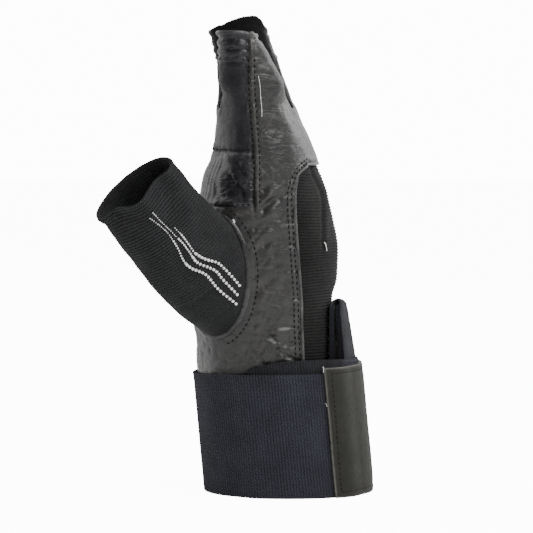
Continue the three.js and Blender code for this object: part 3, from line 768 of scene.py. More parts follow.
class Nodes:
    """Adds and joins the nodes of one material or node group."""

    def __init__(self, tree: bpy.types.NodeTree) -> None:
        """Starts with an empty tree."""
        self.tree = tree
        tree.nodes.clear()

    def add(self, kind: str, settings: dict | None = None, **sockets) -> bpy.types.Node:
        """Adds a node and fills its inputs.

        Args:
            kind: the node's type.
            settings: properties of the node itself.
            sockets: inputs by name, with _ for a space, or by number as n0, n1 and so on. A value is
                a number, a colour or an output to link.

        Returns:
            The new node.
        """
        node = self.tree.nodes.new(kind)
        for name, value in (settings or {}).items():
            setattr(node, name, value)
        for name, value in sockets.items():
            key = int(name[1:]) if name[1:].isdigit() else name.replace("_", " ")
            if isinstance(value, bpy.types.NodeSocket):
                self.tree.links.new(value, node.inputs[key])
            else:
                node.inputs[key].default_value = value
        return node

    def math(self, operation: str, first, second=0.0, third=0.0) -> bpy.types.NodeSocket:
        """Output of a Math node."""
        return self.add("ShaderNodeMath", {"operation": operation}, n0=first, n1=second, n2=third).outputs[0]

    def blend(self, share, low, high) -> bpy.types.NodeSocket:
        """Colour mixed from two by a share."""
        settings = {"data_type": "RGBA", "clamp_factor": True}
        return self.add("ShaderNodeMix", settings, n0=share, n6=low, n7=high).outputs[2]

    def remap(self, value, low: float, high: float, to_low: float, to_high: float) -> bpy.types.NodeSocket:
        """Value moved from one range to another and held inside it."""
        return self.add(
            "ShaderNodeMapRange", None, n0=value, n1=low, n2=high, n3=to_low, n4=to_high
        ).outputs[0]

    def scaled(self, vector, scale: Sequence[float]) -> bpy.types.NodeSocket:
        """Coordinates stretched along each axis."""
        return self.add("ShaderNodeMapping", None, Vector=vector, Scale=tuple(scale)).outputs[0]

    def group(self, tree: bpy.types.NodeTree, **sockets) -> bpy.types.Node:
        """Places a node group with its inputs filled."""
        node = self.add("ShaderNodeGroup", {"node_tree": tree})
        for name, value in sockets.items():
            key = name.replace("_", " ")
            if isinstance(value, bpy.types.NodeSocket):
                self.tree.links.new(value, node.inputs[key])
            else:
                node.inputs[key].default_value = value
        return node


def new_group(
    name: str, inputs: dict[str, tuple[str, object]], outputs: dict[str, str]
) -> tuple[Nodes, bpy.types.Node, bpy.types.Node]:
    """Starts a shader node group with named sockets.

    Args:
        name: the group's name.
        inputs: socket types and starting values by name.
        outputs: socket types by name.

    Returns:
        Its node maker, its input node and its output node.
    """
    tree = bpy.data.node_groups.new(name, "ShaderNodeTree")
    for label, (kind, value) in inputs.items():
        socket = tree.interface.new_socket(label, in_out="INPUT", socket_type=kind)
        if value is not None:
            socket.default_value = value
    for label, kind in outputs.items():
        tree.interface.new_socket(label, in_out="OUTPUT", socket_type=kind)
    nodes = Nodes(tree)
    return nodes, nodes.add("NodeGroupInput"), nodes.add("NodeGroupOutput")


def finish_material(name: str) -> tuple[bpy.types.Material, Nodes, bpy.types.Node]:
    """Starts a material with a Principled shader that is already joined to its output."""
    material = bpy.data.materials.new(name)
    material.use_nodes = True
    nodes = Nodes(material.node_tree)
    shader = nodes.add("ShaderNodeBsdfPrincipled")
    nodes.add("ShaderNodeOutputMaterial", None, Surface=shader.outputs[0])
    return material, nodes, shader


FLOAT = "NodeSocketFloat"
VECTOR = "NodeSocketVector"


def mottle_group() -> bpy.types.NodeTree:
    """Broad and fine uneven tone that every finish shares.

    Returns:
        A group from Vector, Broad and Fine scales to a Tone from 0 to 1.
    """
    inputs = {"Vector": (VECTOR, None), "Broad": (FLOAT, 60.0), "Fine": (FLOAT, 900.0)}
    nodes, start, end = new_group("uneven_tone", inputs, {"Tone": FLOAT})
    broad = nodes.add("ShaderNodeTexNoise", None, Vector=start.outputs[0], Scale=start.outputs[1], Detail=4.0)
    fine = nodes.add("ShaderNodeTexNoise", None, Vector=start.outputs[0], Scale=start.outputs[2], Detail=3.0)
    both = nodes.math("MULTIPLY_ADD", fine.outputs[0], 0.45, nodes.math("MULTIPLY", broad.outputs[0], 0.55))
    nodes.tree.links.new(nodes.remap(both, 0.36, 0.66, 0.0, 1.0), end.inputs[0])
    return nodes.tree


def grain_group() -> bpy.types.NodeTree:
    """Soft swells, fine level creases and a faint pebble, for leather and coated cloth.

    Returns:
        A group from Vector, Pebble scale, Crease scale and Crease share to a Height and its Creases.
    """
    inputs = {
        "Vector": (VECTOR, None),
        "Pebble": (FLOAT, 1500.0),
        "Crease": (FLOAT, 200.0),
        "Creased": (FLOAT, 0.5),
    }
    nodes, start, end = new_group("hide_grain", inputs, {"Height": FLOAT, "Creases": FLOAT})
    level = nodes.scaled(start.outputs["Vector"], (0.45, 0.45, 1.7))
    crease_scale = start.outputs["Crease"]
    folds = nodes.add(
        "ShaderNodeTexNoise", None, Vector=level, Scale=crease_scale,
        Detail=2.0, Roughness=0.5, Distortion=0.7,
    )
    swell_scale = nodes.math("MULTIPLY", crease_scale, 1.3)
    place, pebble = start.outputs["Vector"], start.outputs["Pebble"]
    swell = nodes.add("ShaderNodeTexNoise", None, Vector=place, Scale=swell_scale, Detail=1.0)
    cells = nodes.add("ShaderNodeTexNoise", None, Vector=place, Scale=pebble)
    ridge = nodes.math("ABSOLUTE", nodes.math("SUBTRACT", folds.outputs[0], 0.5))
    crease = nodes.remap(ridge, 0.0, 0.09, 0.0, 1.0)
    sunk = nodes.math("MULTIPLY", crease, start.outputs["Creased"])
    soft = nodes.math("MULTIPLY_ADD", cells.outputs[0], 0.12, swell.outputs[0])
    nodes.tree.links.new(nodes.math("ADD", soft, nodes.math("MULTIPLY", sunk, 0.55)), end.inputs["Height"])
    nodes.tree.links.new(crease, end.inputs["Creases"])
    return nodes.tree


def weave_group() -> bpy.types.NodeTree:
    """Crossed yarns of a knit or woven band, on the piece's own UV map.

    Returns:
        A group from Vector, Across and Up pitches per metre to a Height and a Lint mask.
    """
    inputs = {"Vector": (VECTOR, None), "Across": (FLOAT, 900.0), "Up": (FLOAT, 900.0)}
    nodes, start, end = new_group("crossed_yarn", inputs, {"Height": FLOAT, "Lint": FLOAT})
    split = nodes.add("ShaderNodeSeparateXYZ", None, Vector=start.outputs[0])
    turn = 2 * math.pi
    phase = nodes.math("MULTIPLY", nodes.math("MULTIPLY", split.outputs[0], start.outputs[1]), turn)
    row = nodes.math("MULTIPLY", nodes.math("MULTIPLY", split.outputs[1], start.outputs[2]), turn)
    waves = nodes.math("MULTIPLY", nodes.math("SINE", phase), nodes.math("SINE", row))
    fuzz = nodes.add("ShaderNodeTexNoise", None, Vector=start.outputs[0], Scale=2400.0, Detail=4.0)
    height = nodes.math("MULTIPLY_ADD", waves, 0.5, fuzz.outputs[0])
    nodes.tree.links.new(height, end.inputs[0])
    lint = nodes.add(
        "ShaderNodeTexNoise", None, Vector=start.outputs[0], Scale=1500.0, Detail=6.0, Roughness=0.7
    )
    nodes.tree.links.new(nodes.remap(lint.outputs[0], 0.58, 0.74, 0.0, 1.0), end.inputs[1])
    return nodes.tree


@dataclass(frozen=True)
class Groups:
    """Node groups that the finishes share."""

    mottle: bpy.types.NodeTree
    grain: bpy.types.NodeTree
    weave: bpy.types.NodeTree


@dataclass(frozen=True)
class HideFinish:
    """Leather or coated cloth: grain, uneven tone, paler rubbed edges and a painted highlight on seam lips
    from its paleness attribute, and painted shade in the grain's creases and in the furrows under sewn rows.
    """

    name: str
    dark: tuple[float, float, float, float]
    light: tuple[float, float, float, float]
    worn_and_lit: tuple[float, float, float, float]
    rough: float
    rough_spread: float = 0.05
    pebble: float = 1500
    crease: float = 200
    creased: float = 0.6
    relief: float = 0.5
    depth: float = 0.0009
    gloss: float = 0.5

    def material(self, groups: Groups) -> bpy.types.Material:
        """Builds the material.

        Args:
            groups: the shared node groups.

        Returns:
            The new material.
        """
        material, nodes, shader = finish_material(self.name)
        place = nodes.add("ShaderNodeTexCoord").outputs["Object"]
        tone = nodes.group(groups.mottle, Vector=place, Broad=70.0, Fine=300.0).outputs[0]
        grain = nodes.group(
            groups.grain, Vector=place, Pebble=self.pebble, Crease=self.crease, Creased=self.creased
        )
        # Paleness from the attribute: rubbed rims and seams, and a painted highlight on the seam lips.
        wear_and_highlight = nodes.add("ShaderNodeAttribute", {"attribute_name": "wear_and_highlight"}).outputs["Fac"]
        base = nodes.blend(tone, self.dark, self.light)
        patchy = nodes.math("MULTIPLY", wear_and_highlight, nodes.remap(tone, 0.0, 1.0, 0.55, 1.1))
        colour = nodes.blend(patchy, base, self.worn_and_lit)
        # Painted shade: near black in the furrows under the sewn rows and along the grain's creases.
        painted_furrow_shade = nodes.add("ShaderNodeAttribute", {"attribute_name": "painted_furrow_shade"}).outputs["Fac"]
        sunk = nodes.remap(grain.outputs["Creases"], 0.0, 0.8, self.creased / 2, 0.0)
        painted_crease_shade = nodes.math("MAXIMUM", painted_furrow_shade, sunk)
        dark = nodes.blend(painted_crease_shade, colour, (0.003, 0.003, 0.003, 1))
        rough = nodes.remap(tone, 0.0, 1.0, self.rough + self.rough_spread, self.rough - self.rough_spread)
        lift = nodes.add(
            "ShaderNodeBump", None, Height=grain.outputs["Height"], Strength=self.relief, Distance=self.depth
        ).outputs[0]
        nodes.tree.links.new(dark, shader.inputs["Base Color"])
        nodes.tree.links.new(rough, shader.inputs["Roughness"])
        nodes.tree.links.new(lift, shader.inputs["Normal"])
        shader.inputs["Specular IOR Level"].default_value = self.gloss
        return material


@dataclass(frozen=True)
class ClothFinish:
    """Knit, elastic or webbing: crossed yarns on the piece's UV map, lint, a soft sheen, and a painted
    highlight on the crests of the ribs from the crest attribute, with painted shade between them.
    """

    name: str
    dark: tuple[float, float, float, float]
    light: tuple[float, float, float, float]
    lint: tuple[float, float, float, float]
    across: float
    up: float
    relief: float = 0.4
    linty: float = 0.2
    rough: float = 0.85
    sheen: float = 0.03
    gloss: float = 0.18
    hidden: tuple[float, float, float, float] = (0.008, 0.0078, 0.006, 1)

    def material(self, groups: Groups) -> bpy.types.Material:
        """Builds the material.

        Args:
            groups: the shared node groups.

        Returns:
            The new material.
        """
        material, nodes, shader = finish_material(self.name)
        place = nodes.add("ShaderNodeTexCoord")
        tone = nodes.group(groups.mottle, Vector=place.outputs["Object"], Broad=90.0, Fine=1400.0).outputs[0]
        yarn = nodes.group(groups.weave, Vector=place.outputs["UV"], Across=self.across, Up=self.up)
        crest = nodes.add("ShaderNodeAttribute", {"attribute_name": "crest"}).outputs["Fac"]
        under = nodes.add("ShaderNodeAttribute", {"attribute_name": "under"}).outputs["Fac"]
        woven = nodes.remap(yarn.outputs["Height"], 0.1, 0.9, 0.0, 1.0)
        broad = nodes.math("MULTIPLY_ADD", woven, 0.3, nodes.math("MULTIPLY", tone, 0.25))
        # Painted highlight: rib crests from the crest attribute are made paler, and the troughs between them
        # darker as painted shade.
        lit = nodes.math("MULTIPLY_ADD", crest, 0.45, broad)
        base = nodes.blend(under, nodes.blend(lit, self.dark, self.light), self.hidden)
        lint = nodes.math("MULTIPLY", yarn.outputs["Lint"], self.linty)
        nodes.tree.links.new(nodes.blend(lint, base, self.lint), shader.inputs["Base Color"])
        nodes.tree.links.new(
            nodes.remap(tone, 0.0, 1.0, self.rough + 0.06, self.rough - 0.06), shader.inputs["Roughness"]
        )
        lift = nodes.add(
            "ShaderNodeBump", None, Height=yarn.outputs["Height"], Strength=self.relief, Distance=0.0004
        ).outputs[0]
        nodes.tree.links.new(lift, shader.inputs["Normal"])
        shader.inputs["Specular IOR Level"].default_value = self.gloss
        shader.inputs["Sheen Weight"].default_value = self.sheen
        shader.inputs["Sheen Roughness"].default_value = 0.5
        return material


@dataclass(frozen=True)
class ThreadFinish:
    """Sewing thread with a slightly uneven tone."""

    name: str
    dark: tuple[float, float, float, float]
    light: tuple[float, float, float, float]
    rough: float = 0.6

    def material(self, groups: Groups) -> bpy.types.Material:
        """Builds the material."""
        material, nodes, shader = finish_material(self.name)
        place = nodes.add("ShaderNodeTexCoord").outputs["Object"]
        tone = nodes.group(groups.mottle, Vector=place, Broad=400.0, Fine=2600.0).outputs[0]
        nodes.tree.links.new(nodes.blend(tone, self.dark, self.light), shader.inputs["Base Color"])
        shader.inputs["Roughness"].default_value = self.rough
        shader.inputs["Specular IOR Level"].default_value = 0.2
        return material


def tint(red: float, green: float, blue: float) -> tuple[float, float, float, float]:
    """Linear colour from display values of 0 to 255."""
    shown = (red, green, blue)
    linear = [v / 255 / 12.92 if v <= 10 else ((v / 255 + 0.055) / 1.055) ** 2.4 for v in shown]
    return linear[0], linear[1], linear[2], 1.0


@dataclass(frozen=True)
class Finishes:
    """Every material of the glove."""

    leather: bpy.types.Material
    palm_leather: bpy.types.Material
    front_leather: bpy.types.Material
    binding: bpy.types.Material
    knit: bpy.types.Material
    thumb_knit: bpy.types.Material
    elastic: bpy.types.Material
    leatherette: bpy.types.Material
    webbing: bpy.types.Material
    dark_thread: bpy.types.Material
    white_thread: bpy.types.Material

    @classmethod
    def make(cls) -> Finishes:
        """Builds the shared node groups and then each material."""
        groups = Groups(mottle_group(), grain_group(), weave_group())
        hide = HideFinish(
            "leather", tint(28, 29, 29), tint(44, 43, 40), tint(125, 123, 118), 0.39,
            creased=0.35, depth=0.0007,
        )
        inner = (tint(14, 14, 18), tint(24, 23, 29), tint(110, 108, 112))
        palm = HideFinish("palm_leather", *inner, 0.37, gloss=0.4)
        front = HideFinish("front_leather", *inner, 0.5, creased=0.35, gloss=0.3)
        edge = HideFinish(
            "binding", tint(26, 27, 27), tint(38, 38, 37), tint(120, 120, 118), 0.33, relief=0.3, depth=0.0006
        )
        coat = HideFinish(
            "leatherette", tint(33, 33, 29), tint(38, 38, 34), tint(112, 110, 104), 0.7,
            rough_spread=0.04, pebble=1700, crease=420, creased=0.1, relief=0.1, depth=0.0005, gloss=0.2,
        )
        grey = tint(96, 98, 104)
        knit = ClothFinish("ribbed_knit", tint(1, 1, 1), tint(30, 29, 28), grey, 1100, 740)
        thumb = ClothFinish("thumb_knit", tint(1, 1, 1), tint(54, 55, 56), grey, 1000, 690, relief=0.6)
        elastic = ClothFinish(
            "elastic", tint(16, 16, 20), tint(56, 57, 66), grey, 740, 640, relief=0.7, linty=0.12
        )
        webbing = ClothFinish("webbing", tint(5, 5, 8), tint(32, 33, 40), grey, 640, 640, linty=0.15)
        dark = ThreadFinish("dark_thread", tint(6, 6, 7), tint(22, 22, 23), rough=0.8)
        white = ThreadFinish("white_thread", tint(236, 236, 234), tint(254, 254, 252))
        return cls(
            hide.material(groups),
            palm.material(groups),
            front.material(groups),
            edge.material(groups),
            knit.material(groups),
            thumb.material(groups),
            elastic.material(groups),
            coat.material(groups),
            webbing.material(groups),
            dark.material(groups),
            white.material(groups),
        )


# Leather skin


@dataclass(frozen=True)
class Crease:
    """A fold seen from the thumb side: from one place to another, with its depth and half width."""

    from_x: float
    from_z: float
    to_x: float
    to_z: float
    depth: float
    width: float = 1.1

    def push(self, points: np.ndarray) -> np.ndarray:
        """How far the fold moves each place along its outward direction.

        Args:
            points: places in millimetres, one row each.

        Returns:
            Millimetres in, with a low ridge above the fold.
        """
        flat = points[:, [0, 2]]
        start = np.array([self.from_x, self.from_z])
        run = np.array([self.to_x, self.to_z]) - start
        length = np.linalg.norm(run)
        run /= length
        along_it = (flat - start) @ run
        off = (flat - start) @ np.array([-run[1], run[0]])
        past = np.maximum(np.maximum(-along_it, along_it - length), 0)
        fade = np.exp(-((past / (2 * self.width)) ** 2)) * (points[:, 1] < 5)
        return self.depth * fade * (0.6 * bump(off, 2 * self.width, self.width) - bump(off, 0, self.width))


CREASES = (
    Crease(-8.3, 128.1, -5.0, 131.0, 1.0, 1.3),
    Crease(-5.0, 131.0, 3.5, 135.4, 0.8, 1.5),
    Crease(-9.2, 146.5, -3.4, 140.2, 0.35, 1.0),
    Crease(-7.5, 149.0, -1.5, 143.0, 0.3, 1.0),
    Crease(-8.7, 73.4, -4.8, 70.8, 0.6),
    Crease(-4.8, 70.8, 3.5, 71.6, 0.6),
    Crease(-14.4, 65.3, -8.3, 58.9, 0.6),
    Crease(-4.8, 66.5, 2.0, 63.0, 0.5, 0.9),
    Crease(0.5, 68.6, 7.6, 66.4, 0.5, 0.9),
    Crease(2.0, 62.4, 8.4, 59.8, 0.5, 0.9),
    Crease(-12.0, 92.0, -4.0, 97.0, 0.4, 1.6),
    Crease(-9.0, 112.0, 3.0, 116.0, 0.4, 1.8),
    Crease(-3.0, 86.0, 6.0, 84.0, 0.35, 1.4),
    Crease(-6.0, 104.0, 5.0, 103.0, 0.3, 1.4),
    Crease(-14.0, 120.0, -4.0, 123.5, 0.35, 1.3),
)


@dataclass
class Skin:
    """The leather hand and finger stalls, laid out as one sheet and cut along its seams."""

    form: HandForm
    step: float = 0.8
    outer_columns: int = 48
    web_columns: int = 4
    stall_columns: int = 24
    knit_side_columns: int = 30
    back_outer_columns: int = 12
    wall_columns: int = 24
    groove: float = 0.42
    groove_width: float = 0.6
    puff: float = 0.28
    pad_rib: float = 0.45
    cap_wrinkle: float = 0.5
    dark_wall_turn: float = 294
    rag: float = 0.35
    rag_cell: float = 1.6
    rag_power: int = 30
    painted_shade_front_turn: float = 66
    row_offs: tuple[float, float] = (0.6, 3.2)

    def counts(self) -> list[int]:
        """Columns between the stops round the hand, in their order."""
        front = [self.outer_columns, self.web_columns, self.stall_columns, self.web_columns]
        front += [self.stall_columns, self.web_columns, self.outer_columns]
        back = [self.back_outer_columns, *front[1:-1], self.back_outer_columns]
        return [*front, self.knit_side_columns, *back, self.knit_side_columns]

    def ring_angles(self, z: np.ndarray) -> np.ndarray:
        """Angles of the columns at each height, from the side seam over the palm and the back.

        Args:
            z: heights in millimetres.

        Returns:
            Degrees, heights by columns, with the first column repeated at the end.
        """
        seam = self.form.section(z).angle_at_x(self.form.side_seam(z))
        knit = self.form.knit_angle(z)
        webs = [angle for pair in self.form.web_angles() for angle in pair]
        still = np.zeros_like(z)
        stops = [seam, *(still + angle for angle in webs), 180 - seam, 180 + knit]
        stops += [*(still + 360 - angle for angle in reversed(webs)), 360 - knit, 360 + seam]
        return np.concatenate([spread(stops, self.counts()), (360 + seam)[:, None]], axis=1)

    def trunk(self) -> tuple[bpy.types.Object, np.ndarray]:
        """Lays out the hand below the crotch.

        Returns:
            The piece, and the ring of points at the crotch.
        """
        form = self.form
        stops = [form.cuff_foot, form.pad_seam, form.knit_top, form.gather_seam, form.crotch_height]
        levels = heights(stops, self.step)
        angles = self.ring_angles(levels)
        points = form.point(angles, levels[:, None])
        points[:, -1] = points[:, 0]
        columns = points.shape[1] - 1
        front = sum(self.counts()[:7])
        knit_from = front + self.knit_side_columns
        knit_to = columns - self.knit_side_columns
        labels = np.full((len(levels) - 1, columns), PANELS.index(Panel.HAND))
        low = levels[:-1] + 1e-6
        labels[np.ix_(low > form.pad_seam, range(front))] = PANELS.index(Panel.PAD)
        labels[np.ix_(low > form.gather_seam, range(front))] = PANELS.index(Panel.FRONTS)
        labels[np.ix_(low < form.knit_top, range(knit_from, knit_to))] = PANELS.index(Panel.KNIT)
        piece = lay_grid("trunk", points, surface_lengths(points), labels)
        return piece, points[-1, :-1]

    def front_start(self, index: int) -> int:
        """First column of a stall on the palm side of the crotch ring."""
        if index == 0:
            return 0
        return self.outer_columns + self.web_columns + (index - 1) * (self.stall_columns + self.web_columns)

    def back_start(self, index: int) -> int:
        """First column of a stall on the back side of the crotch ring."""
        front = sum(self.counts()[:7])
        if index == len(STALLS) - 1:
            return front
        passed = len(STALLS) - 2 - index
        start = front + self.knit_side_columns + self.back_outer_columns + self.web_columns
        return start + passed * (self.stall_columns + self.web_columns)

    def stall_counts(self, index: int) -> tuple[int, int]:
        """Columns of a stall's front and back."""
        outer = index in (0, len(STALLS) - 1)
        front = self.outer_columns if outer else self.stall_columns
        back = self.back_outer_columns + self.knit_side_columns if outer else self.stall_columns
        return front, back

    def stall(self, index: int, ring: np.ndarray) -> bpy.types.Object:
        """Lays out one finger stall on its share of the crotch.

        Args:
            index: the stall's place from the thumb side.
            ring: points of the crotch ring.

        Returns:
            The piece.
        """
        form = self.form
        stall = STALLS[index]
        fronts, backs = self.stall_counts(index)
        last = index == len(STALLS) - 1
        seam_share = 1 - form.cap_height / stall.length
        shares = heights([0, seam_share, 1], self.step / stall.length)
        section = form.stall_section(stall, shares)
        seam = section.angle_at_x(form.side_seam(form.crotch_height + stall.length * shares))
        still = np.zeros_like(shares)
        start = seam if index == 0 else still + form.stall_seam
        front_end = 180 - (seam if last else still + form.stall_seam)
        back_end = 360 + (seam if index == 0 else still - form.stall_seam)
        stops, counts = [start, front_end], [fronts]
        if not last:
            stops.append(still + 180 + form.stall_seam)
            counts.append(self.wall_columns)
        stops.append(back_end)
        counts.append(backs)
        if index:
            stops.append(360 + start)
            counts.append(self.wall_columns)
        angles = np.concatenate([spread(stops, counts), stops[-1][:, None]], axis=1)

        around = len(ring)
        front = ring[(self.front_start(index) + np.arange(fronts + 1)) % around]
        back = ring[(self.back_start(index) + np.arange(backs + 1)) % around]
        shares_across = (np.arange(self.wall_columns) / self.wall_columns)[:, None]
        foot = [front[:-1]]
        foot.append(front[-1:] if last else mix(front[-1], back[0], shares_across))
        foot.append(back[1:-1] if last else back[:-1])
        foot.append(mix(back[-1], front[0], shares_across) if index else back[-1:])
        if index:
            foot.append(front[:1])
        joined = np.concatenate(foot)

        ring_section = Section(
            middle=section.middle[:, None],
            palm=section.palm[:, None],
            back=section.back[:, None],
            thumb_side=section.thumb_side,
            little_side=section.thumb_side,
            power=section.power,
            centre=section.centre,
        )
        round_x, round_y = ring_section.at(angles)
        z = form.crotch_height + stall.length * shares[:, None]
        z = z + form.cap_height * stall.rim_rise(angles) * shares[:, None] ** 3
        if index:
            flat = np.stack([joined[:, 0], joined[:, 1], 0 * joined[:, 0]], axis=1)
            ragged = noise(flat, (self.rag_cell, self.rag_cell, 1), 83)
            z = z + self.rag * ragged * shares[:, None] ** self.rag_power
        hand = form.section(z)
        crotch = form.section(form.crotch_height)
        depth = (hand.palm + hand.back) / (crotch.palm + crotch.back)
        x = hand.middle + (joined[:, 0] - crotch.middle) * depth
        own = ease(shares * stall.length, 0, form.stall_rounding)[:, None]
        points = np.stack([mix(x, round_x, own), mix(joined[:, 1], round_y, own), z], axis=-1)
        points[0] = joined
        points[:, -1] = points[:, 0]

        labels = np.full((len(shares) - 1, angles.shape[1] - 1), PANELS.index(Panel.HAND))
        labels[:, :fronts] = PANELS.index(Panel.FRONTS)
        labels[shares[:-1] + 1e-6 > seam_share, :fronts] = PANELS.index(CAPS[index])
        if not last:
            labels[:, fronts : fronts + self.wall_columns] = PANELS.index(GUSSETS[index])
        if index:
            labels[:, -self.wall_columns :] = PANELS.index(GUSSETS[index - 1])
        # On the middle stall, the back strip beside the index is dark fabric, and the front strip beside the
        # index is black knit standing for leather in shadow there: painted shade.
        if index == 1:
            turned = angles[:-1, :-1]
            dark = (turned > self.dark_wall_turn) | (turned < self.painted_shade_front_turn)
            labels[dark] = PANELS.index(GUSSETS[0])
        return lay_grid(f"{stall.name}_stall", points, surface_lengths(points), labels)

    def web(self, index: int, ring: np.ndarray) -> bpy.types.Object:
        """Lays out the strip between two stalls, from the palm to the back."""
        fronts = self.stall_counts(index)[0]
        across = np.arange(self.web_columns + 1)
        front = ring[self.front_start(index) + fronts + across]
        back = ring[self.back_start(index) - across]
        shares = (np.arange(self.wall_columns + 1) / self.wall_columns)[None, :, None]
        points = mix(front[:, None, :], back[:, None, :], shares)
        labels = np.full((self.web_columns, self.wall_columns), PANELS.index(GUSSETS[index]))
        return lay_grid(f"web_{index}", points, surface_lengths(points), labels)

    def sheet(self) -> bpy.types.Object:
        """The whole skin as one open sheet with its faces outwards."""
        trunk, ring = self.trunk()
        stalls = [self.stall(index, ring) for index in range(len(STALLS))]
        webs = [self.web(index, ring) for index in range(len(STALLS) - 1)]
        skin = join("skin", [trunk, *stalls, *webs])
        choose(skin)
        bpy.ops.object.mode_set(mode="EDIT")
        bpy.ops.mesh.select_all(action="SELECT")
        bpy.ops.mesh.normals_make_consistent(inside=False)
        bpy.ops.object.mode_set(mode="OBJECT")
        face_outwards(skin, lambda points: (points - [self.form.side_seam_x, 0, 0]) * [1, 1, 0])
        return skin

    def seam_distance(self, skin: bpy.types.Object) -> tuple[np.ndarray, np.ndarray]:
        """Distance of each vertex from the nearest seam and from the nearest open rim.

        Args:
            skin: the whole skin, with its panel labels.

        Returns:
            Two arrays of millimetres.
        """
        points = coordinates(skin)
        labels = np.empty(len(skin.data.polygons), np.int32)
        skin.data.attributes["panel"].data.foreach_get("value", labels)
        corners = corner_vertices(skin).reshape(-1, 4)
        low = np.full(len(points), len(PANELS))
        high = np.full(len(points), -1)
        uses = np.zeros(len(points), int)
        for corner in corners.T:
            np.minimum.at(low, corner, labels)
            np.maximum.at(high, corner, labels)
            np.add.at(uses, corner, 1)
        seams = points[(high > low)]
        above = points[:, 2] > self.form.crotch_height + self.form.stall_rounding
        rims = points[(uses < 4) & (high == low) & above]
        return nearest(points, seams), nearest(points, rims)

    def relief(self, skin: bpy.types.Object) -> tuple[np.ndarray, np.ndarray]:
        """How far each vertex moves outwards, and how pale it is painted: rubbed rims and seams, and a
        painted highlight on the lips of the pad and gather seams.

        Args:
            skin: the whole skin, with its panel labels.

        Returns:
            Millimetres outwards, and paleness from rubbing and painted highlight, from 0 to 1.
        """
        form = self.form
        points = coordinates(skin)
        x, y, z = points.T
        seam, rim = self.seam_distance(skin)
        front = x < form.side_seam(z) + 0.6
        seam_skip = 1 - 0.75 * front * ease(x, form.side_seam_x - 9, form.side_seam_x - 1)
        move = -self.groove * bump(seam, 0, self.groove_width) + self.puff * bump(seam, 2.5, 1.4) * seam_skip
        move += 0.5 * bump(rim, 1.2, 0.9) - 0.25 * bump(rim, 3.2, 0.6)
        move += 0.5 * noise(points, (17, 17, 15), 3) + 0.25 * noise(points, (7, 7, 6), 5)
        move += 0.3 * noise(points, (2.6, 2.6, 2.6), 7) * bump(seam, 0.5, 2.6)
        move += self.sewn_rows(points)
        move += self.creasing(points, front)
        move += self.pad_folds(points, front)
        move += self.cap_wrinkles(points)
        hem = 0.4 * bump(rim, 1.0, 1.0) - 0.35 * bump(rim, 2.9, 0.7)
        move += hem * (np.abs(y) > 20)
        for crease in CREASES:
            move += crease.push(points)
        wear_and_highlight = 0.05 * bump(seam, 2.4, 1.2) + 0.3 * bump(rim, 0.3, 0.9) + 0.05 * np.clip(move, 0, 1)
        # Painted highlight: pale patches on the puckered lips along the pad seam and the gather seam, broken
        # up by noise.
        patchy_lip_highlight = 0.5 + 0.5 * noise(points, (2.4, 2.4, 2.4), 25)
        lip_highlights = bump(z, form.pad_seam + 0.9, 0.8) + bump(z, form.gather_seam - 0.6, 0.6)
        wear_and_highlight += 0.55 * lip_highlights * patchy_lip_highlight * front * ease(np.abs(y), 24, 34)
        return move, np.clip(wear_and_highlight, 0, 1)

    def row_shade(self, points: np.ndarray) -> np.ndarray:
        """Painted shade in the furrows under the sewn rows, from 0 to 1."""
        return np.clip(-1.4 * np.minimum(self.sewn_rows(points), 0), 0, 0.5)

    def sewn_rows(self, points: np.ndarray) -> np.ndarray:
        """Soft furrows under the rows of stitches beside the side seam and the knitted back.

        Args:
            points: places in millimetres.

        Returns:
            Millimetres outwards.
        """
        form = self.form
        x, y, z = points.T
        off = x - form.side_seam(z)
        low, high = self.row_offs
        pull = 0.75 + 0.25 * noise(points, (1.4, 1.4, 1.4), 27)
        furrows = bump(off, low, 0.6) + bump(off, high, 0.6)
        beside = 0.3 * bump(off, (low + high) / 2, 0.9) - 0.5 * pull * furrows
        total = beside * ease(z, form.pad_seam, form.pad_seam + 2.5) * ease(np.abs(y), 20, 26)
        knit = x - along(KNIT_EDGE, 1, z / form.knit_top) * form.back_depth
        rows = 0.3 * bump(knit, -0.7, 0.6) - 0.34 * pull * (bump(knit, -1.7, 0.55) + bump(knit, -3.5, 0.55))
        return total + rows * ease(np.abs(y), 16, 22) * (1 - ease(z, form.knit_top - 9, form.knit_top - 3))

    def creasing(self, points: np.ndarray, front: np.ndarray) -> np.ndarray:
        """Small folds of the leather: level ones on the finger side and crumpled ones below.

        Args:
            points: places in millimetres.
            front: which of them are on the palm side of the seams.

        Returns:
            Millimetres outwards, mostly below zero.
        """
        form = self.form
        z = points[:, 2]
        upper = ease(z, form.knit_top - 12, form.knit_top + 8)
        level = 1 - np.abs(noise(points, (11, 11, 2.3), 11))
        loose = 1 - np.abs(noise(points, (5.5, 5.5, 4.5), 13))
        slant = points @ np.array([[0.8, 0, 0.6], [0, 1, 0], [-0.6, 0, 0.8]])
        drawn = 1 - np.abs(noise(slant, (3.2, 9, 11), 15))
        folds = -0.11 * level**4 * upper * (1 - 0.5 * front)
        folds -= (0.6 * loose**4 + 0.55 * drawn**4) * (1 - 0.75 * upper) * (1 - 0.7 * front)
        low = bump(z, 62, 9)
        crumpled = low * (0.35 + 0.65 * ease(points[:, 0], -12, -4))
        return folds - 1.15 * (1 - np.abs(noise(slant, (3.6, 5, 5.2), 21))) ** 3 * crumpled

